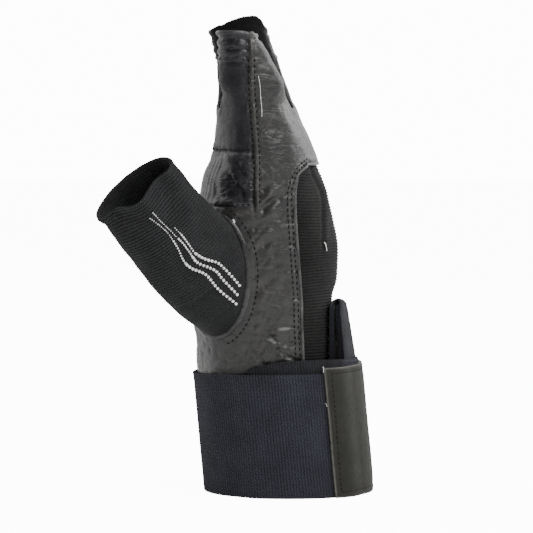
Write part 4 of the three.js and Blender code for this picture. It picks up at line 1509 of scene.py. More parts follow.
    def pad_folds(self, points: np.ndarray, front: np.ndarray) -> np.ndarray:
        """Sewn channels on the palm's face of the pad, slanting folds at its side and gathers above.

        Args:
            points: places in millimetres.
            front: which of them are on the palm side of the seams.

        Returns:
            Millimetres outwards.
        """
        form = self.form
        x, y, z = points.T
        inside = ease(z, form.pad_seam, form.pad_seam + 4)
        inside = inside * (1 - ease(z, form.gather_seam - 4, form.gather_seam))
        face = ease(y, -35, -30) * (1 - ease(y, 30, 35))
        rib = np.abs(np.sin(math.pi * y / 3.6 + 0.5 * noise(points, (30, 30, 30), 17)))
        fold_line = (x + 24) * 0.75 + (z - 140) * 0.6 + 2.2 * noise(points, (8, 8, 8), 18)
        slanting = (1 - 2 * np.abs(np.sin(math.pi * fold_line / 7.5)) ** 0.7) * (1 - face)
        gather = np.sin(2 * math.pi * (y + 0.8 * x) / 2.6 + 2 * noise(points, (9, 9, 9), 19))
        drawn = 0.3 * gather * bump(z, form.gather_seam, 2.6)
        lip = 0.7 * bump(z, form.pad_seam + 1.6, 1.6) * (1 - face)
        return front * (inside * (self.pad_rib * (rib - 0.6) * face - 0.5 * slanting) + drawn + lip)

    def cap_wrinkles(self, points: np.ndarray) -> np.ndarray:
        """Level wrinkles round the front of each finger's cap, in millimetres outwards."""
        form = self.form
        x, y, z = points.T
        total = np.zeros(len(points))
        for stall in STALLS:
            middle = (stall.near + stall.far) * form.breadth / 4
            half = (stall.far - stall.near) * form.breadth / 4
            own = (np.abs(y - middle) < half + 0.5) & (x < form.side_seam(z) + 0.5)
            height = z - form.cap_seam(stall)
            wave = np.sin(2 * math.pi * height / 3.6 + 2.6 * noise(points, (7, 7, 9), 23))
            wave *= 1 if stall is STALLS[0] else 0.45
            inside = ease(height, 0.5, 2.5) * (1 - ease(height, form.cap_height - 3.6, form.cap_height - 2.2))
            total += self.cap_wrinkle * wave * inside * own
        return total

    def build(self, finishes: Finishes, hole: ThumbHole) -> dict[Panel, bpy.types.Object]:
        """Shapes the skin, cuts it into panels and gives each its wall.

        Args:
            finishes: the materials.
            hole: the thumb hole to leave open.

        Returns:
            The pieces by panel. The knitted back isn't among them.
        """
        form = self.form
        skin = self.sheet()
        base = coordinates(skin)
        move, wear_and_highlight = self.relief(skin)
        move *= 1 - 0.6 * hole.near(base, 4)
        set_attribute(skin, "wear_and_highlight", wear_and_highlight)
        # Painted shade for the furrows under the sewn rows, which the leather's material darkens.
        set_attribute(skin, "painted_furrow_shade", self.row_shade(base))
        corners = corner_vertices(skin).reshape(-1, 4)
        inside = hole.inside(base)[corners].any(axis=1)
        move_vertices(skin, base + vertex_normals(skin) * move[:, None])
        labels = np.empty(len(skin.data.polygons), np.int32)
        skin.data.attributes["panel"].data.foreach_get("value", labels)
        cut_faces(skin, inside | (labels == PANELS.index(Panel.KNIT)))
        made: dict[Panel, bpy.types.Object] = {}
        for panel in PANELS:
            if panel in (Panel.KNIT, Panel.HAND):
                continue
            made[panel] = self.cut_panel(skin, panel)
        made[Panel.HAND] = skin
        skin.name = f"sewn_{Panel.HAND.value}"
        bpy.ops.object.select_all(action="DESELECT")
        for panel, piece in made.items():
            piece.data.name = piece.name
            piece.data.attributes.remove(piece.data.attributes["panel"])
            choose(piece)
            bpy.ops.object.mode_set(mode="EDIT")
            bpy.ops.mesh.select_all(action="SELECT")
            bpy.ops.mesh.delete_loose()
            bpy.ops.object.mode_set(mode="OBJECT")
            thicken(piece, form.gusset if panel in GUSSETS else form.leather)
            slot = "ribbed_knit" if panel in GUSSETS else "leather"
            material = finishes.knit if panel in GUSSETS else finishes.palm_leather
            own = {Panel.FRONTS: finishes.front_leather, Panel.HAND: finishes.leather}
            material = own.get(panel, material)
            dress(piece, material, slot, panel.value)
        return made

    def cut_panel(self, skin: bpy.types.Object, panel: Panel) -> bpy.types.Object:
        """Separates one panel from the skin."""
        labels = np.empty(len(skin.data.polygons), np.int32)
        skin.data.attributes["panel"].data.foreach_get("value", labels)
        mark_faces(skin, labels == PANELS.index(panel))
        before = set(bpy.data.objects)
        bpy.ops.mesh.separate(type="SELECTED")
        bpy.ops.object.mode_set(mode="OBJECT")
        piece = next(iter(set(bpy.data.objects) - before))
        piece.name = f"sewn_{panel.value}"
        return piece


def nearest(points: np.ndarray, targets: np.ndarray) -> np.ndarray:
    """Distance from each point to the nearest target."""
    tree = KDTree(len(targets))
    for index, target in enumerate(targets):
        tree.insert(target, index)
    tree.balance()
    return np.array([tree.find(point)[2] for point in points])


# Thumb

# Thumb stall from the hand to its rim. wide and deep are shares of half of its width and depth.
THUMB_ROWS = (
    # along, wide, deep
    (0, 1.25, 1.05),
    (0.25, 1.17, 1.05),
    (0.5, 1.07, 1.04),
    (0.75, 1.02, 1.02),
    (1, 1, 1),
)


# How far the underside of the thumb stall sags. along is a share of its length, sag in millimetres.
THUMB_UNDERSIDE = (
    # along, sag
    (0, 0),
    (0.15, 2.9),
    (0.32, 2.3),
    (0.53, 0.9),
    (0.82, 1.4),
    (1, 1.2),
)


@dataclass(frozen=True)
class Dent:
    """Where the thumb stall's near wall is pushed in at its rim: turn and span in degrees."""

    turn: float
    span: float
    depth: float
    start: float


THUMB_DENTS = (Dent(28, 22, 6.5, 0.6), Dent(-43, 20, 5.5, 0.72), Dent(-6, 11, -1.2, 0.6))


@dataclass(frozen=True)
class ThumbHole:
    """Oval opening in the hand that the thumb stall is sewn to."""

    form: HandForm
    height: float = 54
    middle: float = 98
    near_angle: float = 9
    far_angle: float = 73

    def edge(self, turn, grow=0.0) -> np.ndarray:
        """Point of the hole's edge. Turn 0 is the thumb side, 90 the fingers' side.

        Args:
            turn: degrees round the hole.
            grow: millimetres outside the edge.

        Returns:
            Places in millimetres.
        """
        middle = (self.near_angle + self.far_angle) / 2
        reach = (self.far_angle - self.near_angle) / 2
        per_degree = math.radians(1) * (self.form.breadth + self.form.palm_depth) / 4
        angle = middle - np.cos(np.radians(turn)) * (reach + np.asarray(grow) / per_degree)
        z = self.middle + np.sin(np.radians(turn)) * (self.height / 2 + np.asarray(grow))
        return self.form.point(angle, z)

    def out(self, turn, grow=0.0) -> np.ndarray:
        """Outward direction of the skin at the hole's edge."""
        middle = (self.near_angle + self.far_angle) / 2
        reach = (self.far_angle - self.near_angle) / 2
        angle = middle - np.cos(np.radians(turn)) * reach
        z = self.middle + np.sin(np.radians(turn)) * (self.height / 2 + np.asarray(grow))
        across = self.form.point(angle + 1, z) - self.form.point(angle - 1, z)
        up = self.form.point(angle, z + 1) - self.form.point(angle, z - 1)
        normal = np.cross(up, across)
        return normal / np.linalg.norm(normal, axis=-1, keepdims=True)

    def size_at(self, points: np.ndarray) -> np.ndarray:
        """1 on the hole's edge, less inside it and more outside, for places on the skin."""
        section = self.form.section(points[:, 2])
        depth = np.where(points[:, 0] < section.middle, section.palm, section.back)
        breadth = np.where(points[:, 1] < 0, section.thumb_side, section.little_side)
        s = (section.middle - points[:, 0]) / depth
        c = -points[:, 1] / breadth
        angle = np.degrees(np.arctan2(s, c))
        middle = (self.near_angle + self.far_angle) / 2
        reach = (self.far_angle - self.near_angle) / 2
        return np.hypot((angle - middle) / reach, (points[:, 2] - self.middle) / (self.height / 2))

    def inside(self, points: np.ndarray) -> np.ndarray:
        """Which places lie in the hole."""
        return self.size_at(points) < 1

    def near(self, points: np.ndarray, width: float) -> np.ndarray:
        """1 at the hole's edge, fading over a width in millimetres."""
        return bump((self.size_at(points) - 1) * self.height / 2, 0, width)


# Rows of light beads on the thumb stall, from its rim end to its root. along is a share of the
# stall's length and turn is in degrees round it.
BEAD_ROWS = (
    (
        (0.84, -8),
        (0.73, -4),
        (0.6, -2),
        (0.48, -6),
        (0.39, -14),
        (0.33, -17),
        (0.24, -16),
        (0.15, -24),
        (0.03, -31),
    ),
    (
        (0.86, -1),
        (0.75, 0),
        (0.62, 2),
        (0.49, 2),
        (0.4, -2),
        (0.32, -8),
        (0.21, -8),
        (0.14, -14),
        (0.04, -22),
    ),
    (
        (0.64, 7),
        (0.53, 7),
        (0.44, 4),
        (0.36, 0),
        (0.29, -1),
        (0.21, 0),
        (0.12, -6),
        (0.04, -13),
    ),
)


# Sizes of the beads in millimetres, which grow towards the hand. low and high are shares of the
# stall's length.
BEAD_SIZES = (
    # low, high, length, radius, pitch
    (0.0, 0.36, 1.5, 0.72, 1.9),
    (0.36, 0.56, 1.1, 0.48, 1.6),
    (0.56, 0.9, 0.75, 0.25, 1.3),
)


@dataclass
class ThumbStall:
    """Ribbed tube for the thumb, sewn into the hole under a leather binding."""

    form: HandForm
    hole: ThumbHole
    reach: tuple[float, float, float] = (-30.2, -22, 40)
    width: float = 38
    depth: float = 30
    roll: float = 38
    seam_gap: float = 0.36
    rib: float = 1.45
    rib_height: float = 0.46
    rows: int = 250
    columns: int = 120

    def __post_init__(self) -> None:
        """Works out the stall's own axes."""
        middle = (self.hole.near_angle + self.hole.far_angle) / 2
        self.foot = self.form.point(middle, self.hole.middle)
        self.run = np.array(self.reach)
        axis = self.run / np.linalg.norm(self.run)
        roll = math.radians(self.roll)
        wide = np.array([math.cos(roll), 0, math.sin(roll)])
        wide -= axis * (wide @ axis)
        self.wide = wide / np.linalg.norm(wide)
        self.deep = np.cross(axis, self.wide)

    def oval(self, share, turn, wide, deep) -> np.ndarray:
        """Point of an oval round the stall's axis."""
        s = np.sin(np.radians(turn))[..., None]
        c = np.cos(np.radians(turn))[..., None]
        middle = self.foot + self.run * share[..., None]
        return middle + self.wide * s * wide[..., None] - self.deep * c * deep[..., None]

    def point(self, share, turn) -> np.ndarray:
        """Outer skin of the stall: the hole's edge at share 0, turning into an oval at its rim at 1.

        Args:
            share: 0 at the hand and 1 at the rim.
            turn: degrees round the stall.

        Returns:
            Places in millimetres.
        """
        share, turn = np.broadcast_arrays(np.asarray(share, float), np.asarray(turn, float))
        wide = along(THUMB_ROWS, 1, share) * self.width / 2
        deep = along(THUMB_ROWS, 2, share) * self.depth / 2
        full = np.ones_like(share)
        rim = self.oval(full, turn, full * self.width / 2, full * self.depth / 2)
        ruled = mix(self.hole.edge(turn, -self.seam_gap), rim, share[..., None])
        fullness = ease(share, 0, 0.6) * (1 - np.maximum(np.sin(np.radians(turn)), 0))
        place = mix(ruled, self.oval(share, turn, wide, deep), fullness[..., None])
        inwards = sum(
            dent.depth * ease(share, dent.start, 1) * bump(turn, dent.turn, dent.span) for dent in THUMB_DENTS
        )
        under = along(THUMB_UNDERSIDE, 1, share) * np.maximum(-np.sin(np.radians(turn)), 0)
        return place + self.deep * inwards[..., None] - self.wide * under[..., None]

    def build(self, finishes: Finishes) -> bpy.types.Object:
        """Makes the ribbed tube.

        Args:
            finishes: the materials.

        Returns:
            The piece.
        """
        shares = np.linspace(0, 1, self.rows + 1)
        turns = np.linspace(-180, 180, self.columns + 1)
        points = self.point(shares[:, None], turns[None, :])
        points[:, -1] = points[:, 0]
        uv = surface_lengths(points)
        piece = join("knitted_thumb", [lay_grid("knitted_thumb", points, uv)])
        face_outwards(piece, lambda places: places - self.foot - self.run * self.share_of(places)[:, None])
        base = coordinates(piece)
        share = self.share_of(base)
        length = np.linalg.norm(self.run) * share
        phase = 2 * math.pi * length / self.rib + 0.7 * noise(base, (12, 12, 12), 31)
        crest = 0.5 + 0.5 * np.sin(phase)
        fade = ease(share, 0.0, 0.03)
        move = self.rib_height * (crest - 0.5) * fade
        move += 0.7 * noise(base, (14, 14, 14), 37) * ease(share, 0.05, 0.3)
        move += 0.35 * noise(base, (6, 6, 6), 41) * ease(share, 0.05, 0.3)
        move += 0.35 * bump(share, 0.985, 0.02)
        lower = (base - self.foot - self.run * share[:, None]) @ self.wide
        move += 1.2 * bump(share, 0.955, 0.035) * ease(-lower, 12, 17)
        move_vertices(piece, base + vertex_normals(piece) * move[:, None])
        # The crests are also painted paler in the thumb's material, a painted highlight.
        set_attribute(piece, "crest", crest)
        thicken(piece, self.form.knit)
        return dress(piece, finishes.thumb_knit, "ribbed_knit", "thumb_stall")

    def share_of(self, places: np.ndarray) -> np.ndarray:
        """Share of the stall's length at each place."""
        return np.clip((places - self.foot) @ self.run / (self.run @ self.run), 0, 1)

    def binding(self, finishes: Finishes) -> bpy.types.Object:
        """Makes the rolled leather strip round the hole.

        Args:
            finishes: the materials.

        Returns:
            The piece.
        """
        turns = np.linspace(0, 360, 145)
        grows = np.linspace(-0.9, 1.6, 9)
        lift = 0.95 * np.sqrt(np.maximum(1 - ((grows - 0.35) / 1.27) ** 2, 0)) - 0.3
        edge = np.stack([self.hole.edge(turns, grow) for grow in grows])
        out = self.hole.out(turns)
        points = edge + out[None] * lift[:, None, None]
        points[:, -1] = points[:, 0]
        piece = join("thumb_binding", [lay_grid("thumb_binding", points, surface_lengths(points))])
        face_outwards(piece, lambda places: places - [self.form.side_seam_x, 0, self.hole.middle])
        base = coordinates(piece)
        move = 0.18 * noise(base, (2.2, 2.2, 2.2), 43)
        move_vertices(piece, base + vertex_normals(piece) * move[:, None])
        set_attribute(piece, "wear_and_highlight", 0.05 + 0.12 * noise(base, (8, 8, 8), 47))
        thicken(piece, 0.8)
        return dress(piece, finishes.binding, "leather")


# Knitted back


# Line of the seam near the thumb side of the knitted back.
KNIT_SEAM = (
    # z, x
    (108, 19.0),
    (127.5, 18.3),
    (135, 17.2),
    (144.1, 13.9),
)


@dataclass
class KnitBack:
    """Stretch panel on the back of the hand, set under the leather's edge."""

    form: HandForm
    sunk: float = 1.25
    crown: float = 1.35
    crown_foot: float = 87.0
    crown_rise: float = 8
    crown_span: tuple[float, float] = (12, 30)
    crown_head: tuple[float, float] = (14, 2)
    tuck: float = 4.0
    rib: float = 1.35
    rib_height: float = 0.42
    row_step: float = 0.24
    columns: int = 72

    def build(self, finishes: Finishes) -> bpy.types.Object:
        """Makes the panel with its level ribs.

        Args:
            finishes: the materials.

        Returns:
            The piece.
        """
        form = self.form
        levels = heights([form.cuff_foot, form.knit_top + self.tuck], self.row_step)
        knit = form.knit_angle(np.minimum(levels, form.knit_top))
        tucked = np.degrees(self.tuck / (form.breadth / 2))
        shares = np.linspace(0, 1, self.columns + 1)
        start = (180 + knit - tucked)[:, None]
        end = (360 - knit + tucked)[:, None]
        angles = mix(start, end, shares[None, :])
        points = form.point(angles, levels[:, None])
        piece = lay_grid("ribbed_back", points, surface_lengths(points))
        face_outwards(piece, lambda places: (places - [form.side_seam_x, 0, 0]) * [1, 1, 0])
        base = coordinates(piece)
        wander = 0.5 * noise(base, (20, 20, 20), 53)
        crest = 0.5 + 0.5 * np.sin(2 * math.pi * (base[:, 2] + wander) / self.rib)
        seam = base[:, 0] - along(KNIT_SEAM, 1, base[:, 2])
        line = bump(seam, 0, 0.5) * (base[:, 1] < 0) * ease(base[:, 2], 106, 112)
        crest = crest * (1 - 0.8 * line)
        low, high = self.crown_head
        middle = 1 - ease(np.abs(base[:, 1]), *self.crown_span)
        middle *= 1 - ease(base[:, 2], form.knit_top - low, form.knit_top - high)
        middle *= ease(base[:, 2], self.crown_foot, self.crown_foot + self.crown_rise)
        move = self.rib_height * (crest - 0.5) - self.sunk + self.crown * middle
        move += 0.3 * noise(base, (15, 15, 12), 59)
        move += 0.35 * bump(seam, 1.3, 0.8) * (base[:, 1] < 0) * ease(base[:, 2], 106, 112) - 0.5 * line
        move_vertices(piece, base + vertex_normals(piece) * move[:, None])
        # The crests are also painted paler in the knit's material, a painted highlight.
        set_attribute(piece, "crest", crest)
        thicken(piece, form.knit)
        return dress(piece, finishes.knit, "ribbed_knit", "back_knit")

    def window(self, side: int) -> np.ndarray:
        """Edge of the leather round the panel on the thumb side or the little finger's side.

        Args:
            side: -1 for the thumb side and 1 for the little finger.

        Returns:
            Places from the cuff up to the top of the panel.
        """
        levels = heights([self.form.cuff_foot + 30, self.form.knit_top], 1.0)
        knit = self.form.knit_angle(levels)
        return self.form.point(360 - knit if side < 0 else 180 + knit, levels)

    def rim(self, finishes: Finishes) -> bpy.types.Object:
        """Makes the rolled leather rim round the panel.

        Args:
            finishes: the materials.

        Returns:
            The piece.
        """
        near = self.window(-1)
        far = self.window(1)
        knit = float(self.form.knit_angle(self.form.knit_top))
        top = self.form.point(np.linspace(360 - knit, 180 + knit, 80)[1:-1], self.form.knit_top)
        route = np.concatenate([near, top, far[::-1]])
        section = self.form.section(route[:, 2])
        out = route - np.stack([section.middle, 0 * section.middle, route[:, 2]], axis=1)
        out /= np.linalg.norm(out, axis=1, keepdims=True)
        route = route - 0.55 * out + 0.12 * noise(route, (5, 5, 5), 61)[:, None]
        piece = tube("window_rim", route, 0.75)
        set_attribute(piece, "wear_and_highlight", 0.25 + 0.3 * noise(coordinates(piece), (7, 7, 7), 67))
        return dress(piece, finishes.binding, "leather")


# Wrist wrap

# Top edge of the wrap along its winding. turn is in whole turns, top a share of the wrap's height.
WRAP_TOP_EDGE = (
    # turn, top
    (0, 1.045),
    (0.08, 1.108),
    (0.25, 1.1),
    (0.5, 1.045),
    (0.75, 0.97),
    (1, 0.998),
    (1.2, 1.01),
)


@dataclass
class WristWrap:
    """Elastic band wound once and a bit round the cuff, with a smooth closing tab over its end."""

    wrap: WrapForm
    rib: float = 1.35
    rib_height: float = 0.15
    per_rib: int = 6
    levels: int = 26
    under_turns: float = 75

    def band(self, finishes: Finishes) -> bpy.types.Object:
        """Makes the band with its fine upright ribs.

        Args:
            finishes: the materials.

        Returns:
            The piece.
        """
        wrap = self.wrap
        end = 360 + wrap.start - wrap.tab_start + wrap.degrees_for(wrap.tab_overlap)
        per_turn = 360 / wrap.degrees_for(self.rib / self.per_rib)
        swept = np.linspace(0, end, int(end / 360 * per_turn) + 1)
        top = along(WRAP_TOP_EDGE, 1, swept / 360) * wrap.height
        lift = wrap.wall + wrap.layer_gap
        out = wrap.wall + lift * ease(swept, 359 - wrap.step, 359)
        rise = np.linspace(0, 1, self.levels + 1)
        z = top[None, :] * rise[:, None]
        points = wrap.point((wrap.start - swept)[None, :], z, out[None, :])
        uv = surface_lengths(points)
        piece = lay_grid("wound_band", points, uv)
        face_outwards(piece, lambda places: (places - [wrap.foot_x, 0, 0]) * [1, 1, 0])
        corners = corner_vertices(piece)
        kept = np.empty(len(corners) * 2)
        piece.data.uv_layers[0].data.foreach_get("uv", kept)
        lengths = np.zeros(len(piece.data.vertices))
        lengths[corners] = kept.reshape(-1, 2)[:, 0] / MM
        base = coordinates(piece)
        crest = 0.5 + 0.5 * np.sin(2 * math.pi * lengths / self.rib + 0.4 * noise(base, (20, 20, 8), 71))
        edge = 0.25 * bump(base[:, 2], wrap.height - 1.2, 1.5)
        covered = self.under_turns / wrap.degrees_for(1.0)
        under = 1 - ease(lengths, covered - 3, covered)
        waves = 0.22 * noise(base, (18, 18, 14), 73)
        move = self.rib_height * (crest - 0.5) + waves * ease(base[:, 2], 3, 12)
        normal = vertex_normals(piece) * [1, 1, 0]
        normal /= np.linalg.norm(normal, axis=1, keepdims=True)
        move_vertices(piece, base + normal * (move + edge - 0.1)[:, None])
        # The crests are also painted paler in the elastic's material, a painted highlight.
        set_attribute(piece, "crest", crest)
        set_attribute(piece, "under", 0.8 * under * (0.7 + 0.3 * noise(base, (1.5, 1.5, 1.5), 75)))
        thicken(piece, wrap.wall)
        return dress(piece, finishes.elastic, "elastic", "wrist_wrap")

    def tab_point(self, swept, z, rise=0.0) -> np.ndarray:
        """Point of the closing tab's outer face.

        Args:
            swept: degrees from the tab's near edge.
            z: heights in millimetres.
            rise: millimetres above the face.

        Returns:
            Places in millimetres.
        """
        wrap = self.wrap
        over_band = 2 * wrap.wall + 2 * wrap.layer_gap + wrap.tab_wall
        over_turn = wrap.wall + wrap.layer_gap + wrap.tab_wall
        step = wrap.degrees_for(wrap.tab_overlap)
        out = mix(over_band, over_turn, ease(swept, 1.1 * step, 3 * step)) + rise
        return wrap.point(wrap.tab_start - np.asarray(swept, float), z, out)

    def tab(self, finishes: Finishes) -> bpy.types.Object:
        """Makes the tab with its pressed border.

        Args:
            finishes: the materials.

        Returns:
            The piece.
        """
        wrap = self.wrap
        sweep = wrap.degrees_for(wrap.tab_length)
        across = np.linspace(0, 1, 131)
        up = np.linspace(0, 1, 97)
        points = self.tab_point(sweep * across[None, :], wrap.tab_height * up[:, None])
        piece = lay_grid("closing_tab", points, surface_lengths(points))
        face_outwards(piece, lambda places: (places - [wrap.foot_x, 0, 0]) * [1, 1, 0])
        base = coordinates(piece)
        edge = self.tab_edge_distance(piece)
        move = -0.22 * bump(edge, 2.6, 0.5) - 0.25 * bump(edge, 0, 0.7) + 0.18 * ease(edge, 3, 6)
        move += 0.25 * noise(base, (22, 22, 16), 79) - 0.1
        move_vertices(piece, base + vertex_normals(piece) * [1, 1, 0] * move[:, None])
        set_attribute(piece, "wear_and_highlight", 0.8 * bump(edge, 0, 0.5))
        thicken(piece, wrap.tab_wall)
        return dress(piece, finishes.leatherette, "leatherette", "closure_tab")

    def tab_edge_distance(self, piece: bpy.types.Object) -> np.ndarray:
        """Distance of each vertex of the tab from its nearest edge, from its UV map."""
        corners = corner_vertices(piece)
        kept = np.empty(len(corners) * 2)
        piece.data.uv_layers[0].data.foreach_get("uv", kept)
        flat = np.zeros((len(piece.data.vertices), 2))
        flat[corners] = kept.reshape(-1, 2) / MM
        high = flat.max(axis=0)
        return np.minimum(flat, high - flat).min(axis=1)

    def tab_stitches(self) -> list[np.ndarray]:
        """Routes of the sewing round the tab, 2.6 mm inside its edges."""
        wrap = self.wrap
        inset = 2.6
        turn = wrap.degrees_for(inset)
        sweep = wrap.degrees_for(wrap.tab_length)
        up = np.linspace(inset, wrap.tab_height - inset, 60)
        around = np.linspace(turn, sweep - turn, 90)
        ends = [self.tab_point(np.full(60, at), up, 5.0) for at in (turn, sweep - turn)]
        sides = [self.tab_point(around, np.full(90, at), 5.0) for at in (inset, wrap.tab_height - inset)]
        return ends + sides


@dataclass
class PullLoop:
    """Folded loop of webbing that stands between the back of the cuff and the wrap."""

    form: HandForm
    width: float = 18
    wall: float = 2.1
    space: float = 1.5
    top: float = 86.8
    foot: float = 34
    turn_foot: float = -23
    turn_top: float = -10
    near_y: float = -22
    fit: float = 0.6
    spread: float = 5
    corner: float = 7

    def build(self, finishes: Finishes) -> bpy.types.Object:
        """Makes the loop: a padded band folded over at its top.

        Args:
            finishes: the materials.

        Returns:
            The piece.
        """
        reach = self.wall + self.space / 2
        height = self.top - self.foot - reach
        bend = np.linspace(math.pi, 0, 15)
        up = np.linspace(0, height, 60)
        middle = reach - self.wall / 2
        face = np.concatenate([np.full(60, -reach), reach * np.cos(bend)[1:-1], np.full(60, reach)])
        rise = np.concatenate([up, height + reach * np.sin(bend)[1:-1], up[::-1]])
        across = np.linspace(0, self.width, 25)
        x, y = np.broadcast_arrays(face[:, None], across[None, :])
        z = np.broadcast_to(rise[:, None], x.shape)
        open_share = np.clip(1 - z / height, 0, 1)
        x = x + reach + self.spread * open_share * (x > 0)
        rounded = np.clip((z - height - reach + self.corner) / self.corner, 0, 1)
        narrow = self.corner * (1 - np.sqrt(1 - 0.98 * rounded**2))
        y = self.width / 2 + (y / self.width - 0.5) * (self.width - 2 * narrow)
        turn = np.radians(mix(self.turn_foot, self.turn_top, z / (height + reach)))
        spun = [x * np.cos(turn) - y * np.sin(turn), x * np.sin(turn) + y * np.cos(turn), z + self.foot]
        section = self.form.section(self.form.wrap.height)
        seat_x, _seat_y = section.at(360 - section.angle_at_y(self.near_y))
        points = np.stack(spun, axis=-1) + [float(seat_x) + self.fit, self.near_y, 0]
        piece = lay_grid("webbing_loop", points, surface_lengths(points))
        centre = np.array([float(seat_x) + self.fit + middle, self.near_y + self.width / 2, 0])
        face_outwards(piece, lambda places: (places - centre) * [1, 1, 0.05])
        base = coordinates(piece)
        edge = self.edge_distance(piece)
        move = -0.55 * bump(edge, 0, 1.2) - 0.3 * bump(edge, 2.8, 0.6)
        normals = vertex_normals(piece)
        move_vertices(piece, base + normals * move[:, None])
        set_attribute(piece, "crest", np.clip(0.5 + 0.5 * np.sin(edge * 6), 0, 1))
        thicken(piece, self.wall)
        return dress(piece, finishes.webbing, "webbing", "pull_loop")

    def edge_distance(self, piece: bpy.types.Object) -> np.ndarray:
        """Distance of each vertex from the nearer long edge of the band."""
        corners = corner_vertices(piece)
        kept = np.empty(len(corners) * 2)
        piece.data.uv_layers[0].data.foreach_get("uv", kept)
        across = np.zeros(len(piece.data.vertices))
        across[corners] = kept.reshape(-1, 2)[:, 0] / MM
        return np.minimum(across, self.width - across)


# Studio


@dataclass(frozen=True)
class Lamp:
    """A soft rectangular light that looks at a point, in metres and watts."""

    name: str
    place: tuple[float, float, float]
    size: tuple[float, float]
    power: float
    colour: tuple[float, float, float] = (1, 1, 1)

    def add(self, target: Vector) -> None:
        """Adds the light to the scene."""
        data = bpy.data.lights.new(self.name, "AREA")
        data.shape = "RECTANGLE"
        data.size, data.size_y = self.size
        data.energy = self.power
        data.color = self.colour
        lamp = bpy.data.objects.new(self.name, data)
        lamp.location = self.place
        lamp.rotation_euler = (target - lamp.location).to_track_quat("-Z", "Y").to_euler()
        bpy.context.scene.collection.objects.link(lamp)


@dataclass(frozen=True)
class Studio:
    """Camera at the photograph's angle, a pale floor and soft light."""

    camera_place: tuple[float, float, float] = (0.01923, -1.48731, 0.175)
    camera_target: tuple[float, float, float] = (0.01183, 0.01269, 0.1004)
    lens: float = 225
    sensor: float = 36
    floor_size: float = 12
    white: float = 12
    front_glow: float = 0.14
    back_glow: float = 1.7

    def build(self) -> None:
        """Adds the camera, the floor, the lights and the world."""
        data = bpy.data.cameras.new("photo_view")
        data.lens = self.lens
        data.sensor_width = self.sensor
        data.clip_end = 50
        camera = bpy.data.objects.new("photo_view", data)
        camera.location = self.camera_place
        aim = Vector(self.camera_target) - camera.location
        camera.rotation_euler = aim.to_track_quat("-Z", "Y").to_euler()
        bpy.context.scene.collection.objects.link(camera)
        bpy.context.scene.camera = camera
        self.add_floor()
        target = Vector((0.0, 0.0, 0.11))
        for lamp in (
            Lamp("back_right", (0.95, 0.75, 0.75), (0.6, 1.0), 6),
            Lamp("top_right", (0.75, -0.5, 1.1), (0.7, 0.7), 12),
            Lamp("front_high", (0.45, -1.05, 0.95), (0.6, 0.6), 10),
            Lamp("back_left", (-0.95, 0.35, 0.5), (0.4, 1.0), 2),
        ):
            lamp.add(target)
        self.add_world()

    def add_floor(self) -> None:
        """Adds the pale floor, which looks as bright to the camera as the room behind it."""
        bpy.ops.object.select_all(action="DESELECT")
        bpy.ops.mesh.primitive_plane_add(size=self.floor_size)
        floor = bpy.context.active_object
        floor.name = "floor"
        material, nodes, shader = finish_material("floor")
        shader.inputs["Base Color"].default_value = (0.9, 0.9, 0.9, 1)
        shader.inputs["Roughness"].default_value = 0.9
        shader.inputs["Emission Color"].default_value = (1, 1, 1, 1)
        seen = nodes.add("ShaderNodeLightPath").outputs["Is Camera Ray"]
        nodes.tree.links.new(nodes.math("MULTIPLY", seen, self.white), shader.inputs["Emission Strength"])
        floor.data.materials.append(material)

    def add_world(self) -> None:
        """Makes a white room that is white to the camera and lights the glove mostly from behind."""
        world = bpy.data.worlds.new("white_room")
        world.use_nodes = True
        nodes = Nodes(world.node_tree)
        seen = nodes.add("ShaderNodeLightPath").outputs["Is Camera Ray"]
        way = nodes.add("ShaderNodeTexCoord").outputs["Generated"]
        depth = nodes.add("ShaderNodeSeparateXYZ", None, Vector=way).outputs[1]
        glow = nodes.remap(depth, -0.6, 1.0, self.front_glow, self.back_glow)
        strength = nodes.math("MULTIPLY_ADD", seen, self.white, glow)
        back = nodes.add("ShaderNodeBackground", None, Color=(1, 1, 1, 1), Strength=strength)
        nodes.add("ShaderNodeOutputWorld", None, Surface=back.outputs[0])
        bpy.context.scene.world = world


# Sewing


